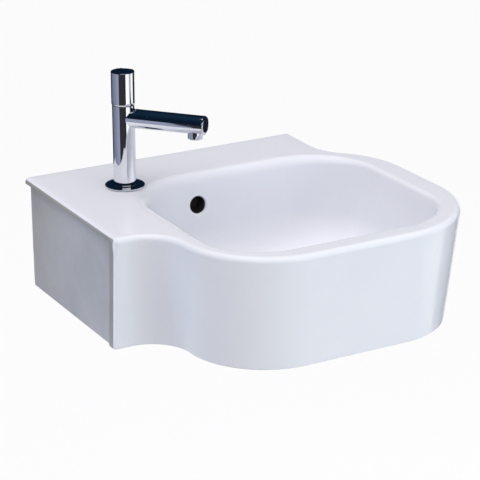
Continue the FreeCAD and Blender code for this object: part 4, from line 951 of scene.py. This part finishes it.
def wall_bolts():
    """Hanger bolts and their nuts: turned profiles, with threads and flats as ripples.

    A bolt has a machine thread in front of the wall and a wood thread with a point in it.
    """
    into_wall = np.array([[1, 0, 0], [0, 0, 1], [0, -1, 0]])
    to_front = np.array([[1, 0, 0], [0, 0, -1], [0, 1, 0]])
    profile = [(0, -34), (4.2, -34), (BOLT_RADIUS, -33.4)]
    profile += [(BOLT_RADIUS, height) for height in np.arange(-33.2, -1.2, 0.25)]
    profile += [(BOLT_RADIUS, -1.0), (SCREW_RADIUS, -0.8)]
    profile += [(SCREW_RADIUS, height) for height in np.arange(-0.6, 55.0, 0.4)]
    profile += [(SCREW_RADIUS, 56), (3.0, 61), (1.4, 66), (0, 70)]
    nut = [(5.1, 22), (5.1, 18.6), (5.6, 18.5), (8.0, 18.5), (9.81, 18.5), (9.81, 18.9),
           (9.81, 19.4), (9.81, 20.2), (9.81, 24.8), (9.81, 25.6), (9.81, 26.1), (9.81, 26.5),
           (8.0, 26.5), (5.6, 26.5), (5.1, 26.4), (5.1, 22.5)]

    def bolt_ripple(angle, height, radius):
        """Both threads, one after the other."""
        cut = thread(1.5, 0.75, -34.0, -6.0, 1.0)(angle, height, radius)
        return thread(3.6, 1.3, 8.0, 66.0, 3.0)(angle, height, cut)

    for side, name, bolts, nuts in ((-BOLT_SIDE, "left", ["hanger_bolts"], ["wall_nuts"]),
                                    (BOLT_SIDE, "right", [], [])):
        shape, faces = turned(profile, 40, bolt_ripple)
        add_mesh("bolt_" + name, moved(shape, (side, 0, 0), into_wall), faces, ZINC,
                 "basin", bolts)
        shape, faces = turned(nut, 96, hexagon(17, 18.5, 26.5, 1.3, 6))
        add_mesh("nut_" + name, moved(shape, (side, 0, 0), to_front), faces, ZINC,
                 "basin", nuts)


def brass_pieces():
    """The tap's threaded shank, and the backnuts of tap and waste, turned round +Z as above."""
    tail = [(5.0, 40), (5.0, 12.3), (5.3, 12.0), (9.4, 12.0), (9.6, 12.1)]
    tail += [(SHANK_RADIUS, height) for height in np.arange(12.8, 33.6, 0.3)]
    tail += [(SHANK_RADIUS, 34.0)]
    tail += [(SHANK_NECK, height) for height in np.arange(34.3, 46.0, 0.3)]
    tail += [(SHANK_NECK, 47), (SHANK_NECK, 62), (5.0, 62)]

    def shank_ripple(angle, height, radius):
        """The thread on the outside only, since the bore's radius is smaller."""
        cut = thread(1.8, 0.85, 11.5, 60.0, 0.5)(angle, height, radius)
        return np.where(radius > 9.9, cut, radius)

    shape, faces = turned(tail, 72, shank_ripple)
    add_mesh("shank", moved(shape, (*AXIS, 0)), faces, BRASS, "basin", ["tap_shank"])

    for name, node, place, flats, low, high, bore in (
            ("shank_nut", "shank_backnut", AXIS, 32, 34.4, 42.4, 11.65),
            ("waste_nut", "waste_backnut", DRAIN, 52, -93.5, -83.5, 22.4)):
        tip = flats / math.sqrt(3)
        middle = (low + high) / 2
        face = flats / 2 * 0.9
        nut = [(bore, middle), (bore, low + 0.4), (bore + 0.4, low), (face, low), (tip, low),
               (tip, low + 0.4), (tip, low + 0.9), (tip, low + 1.7), (tip, high - 1.7),
               (tip, high - 0.9), (tip, high - 0.4), (tip, high), (face, high),
               (bore + 0.4, high), (bore, high - 0.4)]
        shape, faces = turned(nut, 120, hexagon(flats, low, high, tip - flats / 2 * 0.97, bore + 1))
        add_mesh(name, moved(shape, (*place, 0)), faces, BRASS, "basin", [node])


# ---------------------------------------------------------------- camera, light and stage

TAP = np.array(AXIS) * MM
CAMERA_HEADING = -115.8     # from the tap to the camera, in degrees from +X
FLOOR_LEVEL = -1.1
BASIN_MIDDLE = (0, -0.2, 0)


def aimed(thing, target):
    """Turn a lamp so that its -Z points at the target, in metres."""
    away = np.asarray(thing.location) - np.asarray(target)
    flat = math.hypot(away[0], away[1])
    thing.rotation_euler = (math.atan2(flat, away[2]), 0, math.atan2(away[0], -away[1]))


def lamp(name, kind, location, target, power, colour):
    """A lamp aimed at a target, which no mirror shows."""
    data = bpy.data.lights.new(name, kind)
    data.energy = power
    data.color = colour
    thing = bpy.data.objects.new(name, data)
    bpy.context.scene.collection.objects.link(thing)
    thing.location = location
    aimed(thing, target)
    thing.visible_glossy = False
    return thing


def softbox(name, location, target, size, power, colour):
    """A rectangular lamp of a width and a height."""
    thing = lamp(name, "AREA", location, target, power, colour)
    thing.data.shape = "RECTANGLE"
    thing.data.size, thing.data.size_y = size
    return thing


def stage_card(name, points, faces, part, first, last):
    """A glowing surface that only mirrors see; its colour follows one value per vertex."""
    mesh = bpy.data.meshes.new(name)
    mesh.from_pydata(points.tolist(), [], faces)
    values = mesh.attributes.new("part", "FLOAT", "POINT")
    values.data.foreach_set("value", np.asarray(part, dtype=np.float32))
    thing = bpy.data.objects.new(name, mesh)
    bpy.context.scene.collection.objects.link(thing)
    made = bpy.data.materials.new(name)
    tree, output = cleared(made)
    glow = tree.nodes.new("ShaderNodeEmission")
    share = tree.nodes.new("ShaderNodeAttribute")
    share.attribute_name = "part"
    tree.links.new(two_tones(tree, first, last, share.outputs["Fac"]), glow.inputs[0])
    tree.links.new(glow.outputs[0], output.inputs[0])
    mesh.materials.append(made)
    for flag in ("visible_camera", "visible_shadow", "visible_diffuse", "visible_transmission"):
        setattr(thing, flag, False)


def board(name, start, end, low, high, first, last, radius=1.9):
    """A curved board round the tap between two headings, in degrees, and two levels.

    Heading 0 is towards the camera and positive to its right. The colour runs from first to last
    across the board.
    """
    steps = max(2, int((end - start) / 6) + 1)
    part = np.linspace(0, 1, steps)
    angle = np.radians(CAMERA_HEADING + mix(start, end, part))
    plan = TAP + radius * np.stack([np.cos(angle), np.sin(angle)], axis=-1)
    points = np.concatenate([at_level(plan, low), at_level(plan, high)])
    stage_card(name, points, grid_faces(2, steps, wrap_columns=False).tolist(), np.tile(part, 2),
               first, last)


def lid(name, inner, outer, level, first, last):
    """A flat ring over the boards; its colour runs from the inner to the outer edge."""
    angle = np.arange(48) * 2 * math.pi / 48
    ray = np.stack([np.cos(angle), np.sin(angle)], axis=-1)
    points = np.concatenate([at_level(TAP + ray * radius, level) for radius in (inner, outer)])
    stage_card(name, points, grid_faces(2, 48).tolist(), np.repeat([0.0, 1.0], 48), first, last)


def seen_directly(tree):
    """1 for camera, glossy and transmission rays, else 0."""
    path = tree.nodes.new("ShaderNodeLightPath")
    first = maths(tree, "MAXIMUM", path.outputs["Is Camera Ray"], path.outputs["Is Glossy Ray"])
    return maths(tree, "MAXIMUM", first, path.outputs["Is Transmission Ray"])


def make_world():
    """White all round where it is seen, and a weaker, cooler light on the surfaces."""
    world = bpy.data.worlds.new("studio")
    bpy.context.scene.world = world
    tree, output = cleared(world, "ShaderNodeOutputWorld")
    ambient = tree.nodes.new("ShaderNodeBackground")
    ambient.inputs[0].default_value = (0.98, 0.975, 1.0, 1)
    ambient.inputs[1].default_value = 0.38
    white = tree.nodes.new("ShaderNodeBackground")
    white.inputs[0].default_value = (0.982, 0.982, 0.982, 1)
    white.inputs[1].default_value = 1.0
    chosen = tree.nodes.new("ShaderNodeMixShader")
    tree.links.new(seen_directly(tree), chosen.inputs[0])
    tree.links.new(ambient.outputs[0], chosen.inputs[1])
    tree.links.new(white.outputs[0], chosen.inputs[2])
    tree.links.new(chosen.outputs[0], output.inputs[0])


def make_floor():
    """A pale floor far below the hung basin, which takes its shadow and is clear from below."""
    half = 9
    mesh = bpy.data.meshes.new("floor")
    mesh.from_pydata([(-half, -half, FLOOR_LEVEL), (half, -half, FLOOR_LEVEL),
                      (half, half, FLOOR_LEVEL), (-half, half, FLOOR_LEVEL)], [], [(0, 1, 2, 3)])
    floor = bpy.data.objects.new("floor", mesh)
    bpy.context.scene.collection.objects.link(floor)
    made = bpy.data.materials.new("pale_floor")
    tree, output = cleared(made)
    matt = tree.nodes.new("ShaderNodeBsdfDiffuse")
    matt.inputs[0].default_value = (0.5, 0.5, 0.5, 1)
    glow = tree.nodes.new("ShaderNodeEmission")
    glow.inputs[0].default_value = (1, 1, 1, 1)
    tree.links.new(maths(tree, "MULTIPLY", seen_directly(tree), 0.418), glow.inputs[1])
    both = tree.nodes.new("ShaderNodeAddShader")
    tree.links.new(matt.outputs[0], both.inputs[0])
    tree.links.new(glow.outputs[0], both.inputs[1])
    side = tree.nodes.new("ShaderNodeNewGeometry")
    clear = tree.nodes.new("ShaderNodeBsdfTransparent")
    one_sided = tree.nodes.new("ShaderNodeMixShader")
    tree.links.new(side.outputs["Backfacing"], one_sided.inputs[0])
    tree.links.new(both.outputs[0], one_sided.inputs[1])
    tree.links.new(clear.outputs[0], one_sided.inputs[2])
    tree.links.new(one_sided.outputs[0], output.inputs[0])
    mesh.materials.append(made)


def make_lamps():
    """A broad lamp from above, a cool softbox in front and a small blue one low at the left."""
    overhead = lamp("overhead", "SUN", (-0.42, -0.33, 1.6), BASIN_MIDDLE, 2.37, (1.0, 0.98, 0.995))
    overhead.data.angle = math.radians(75)
    softbox("front_softbox", (0.75, -2.1, 0.16), BASIN_MIDDLE, (1.5, 1.2), 18.0,
            (0.86, 0.945, 1.0))
    low = softbox("left_low", (-0.38, -0.165, -0.03), (-0.18, -0.18, -0.02), (0.12, 0.12), 0.2,
                  (0.50, 0.68, 1.0))
    low.visible_camera = False


def make_boards():
    """The boards that the chrome shows as its dark, grey and white bands, from below to above."""
    dark = (0.012, 0.016, 0.026)
    navy = (0.004, 0.012, 0.028)
    foot = FLOOR_LEVEL + 0.01
    tap_top, upper, over, lid_level = 0.3, 0.72, 1.5, 1.9
    board("low_far_left", -180, -134, foot, tap_top, dark, (0.03, 0.04, 0.07))
    board("low_left", -134, -42, foot, tap_top, (0.13, 0.155, 0.23), (0.36, 0.39, 0.52))
    board("low_front", -42, 26, foot, tap_top, (0.04, 0.038, 0.042), (0.03, 0.03, 0.04))
    board("low_white", 26, 60, foot, tap_top, (1.4, 1.4, 1.4), (1.2, 1.2, 1.25))
    board("low_grey", 60, 80, foot, tap_top, (0.5, 0.5, 0.55), (0.55, 0.56, 0.6))
    board("low_bright", 80, 106, foot, tap_top, (1.2, 1.2, 1.2), (1.2, 1.2, 1.2))
    board("low_thin_dark", 106, 140, foot, tap_top, dark, dark)
    board("low_right", 140, 180, foot, tap_top, (0.8, 0.8, 0.85), (0.9, 0.9, 0.9))
    board("high_round", 60, 330, tap_top, lid_level, navy, navy)
    board("mid_front", -30, 60, tap_top, upper, navy, navy)
    board("high_front", -30, 60, upper, over, (0.55, 0.57, 0.62), (0.8, 0.8, 0.85))
    board("top_front", -30, 60, over, lid_level, navy, navy)
    lid("high_lid", 0.32, 1.9, lid_level, (0.01, 0.03, 0.06), navy)


def make_camera():
    """The photograph's own camera, fitted to the shelf's edges, the tap and the flange."""
    data = bpy.data.cameras.new("camera")
    data.lens = 145.67
    data.sensor_width = 36.0
    camera = bpy.data.objects.new("camera", data)
    bpy.context.scene.collection.objects.link(camera)
    camera.location = (-1.0603, -2.0856, 0.808)
    camera.rotation_euler = (math.radians(69.715), 0, math.radians(-29.418))
    bpy.context.scene.camera = camera


# ---------------------------------------------------------------- the scene

def basin_piece():
    """The ceramic, with its matt side, lip and strip face in painted shade, and painted shade
    inside its overflow.
    """
    surface, patch_start, skirt_start = basin_surface()
    rows, width = surface.shape[:2]
    vertices = surface.reshape(-1, 3)
    faces = outward(vertices, grid_faces(rows, width, wrap_rows=True))
    basin = add_mesh("basin", vertices, faces, GLAZE, "basin", ["basin_body"],
                     smooth_angle=1.2)
    # Painted shade: darker materials on the side panel, its lip and the strip's face.
    shade_side_panel(basin, skirt_start, width)
    # Painted shade: the overflow's inside is painted near black.
    darken_channel(basin, patch_start, width)


def main():
    """Camera, stage, the carried nodes' finishes, then the scene's own pieces."""
    bpy.context.scene.view_settings.view_transform = "Standard"
    make_camera()
    make_world()
    make_floor()
    make_lamps()
    make_boards()
    dress_nodes()
    basin_piece()
    pillar_pieces()
    spout_pieces()
    wall_bolts()
    brass_pieces()


main()
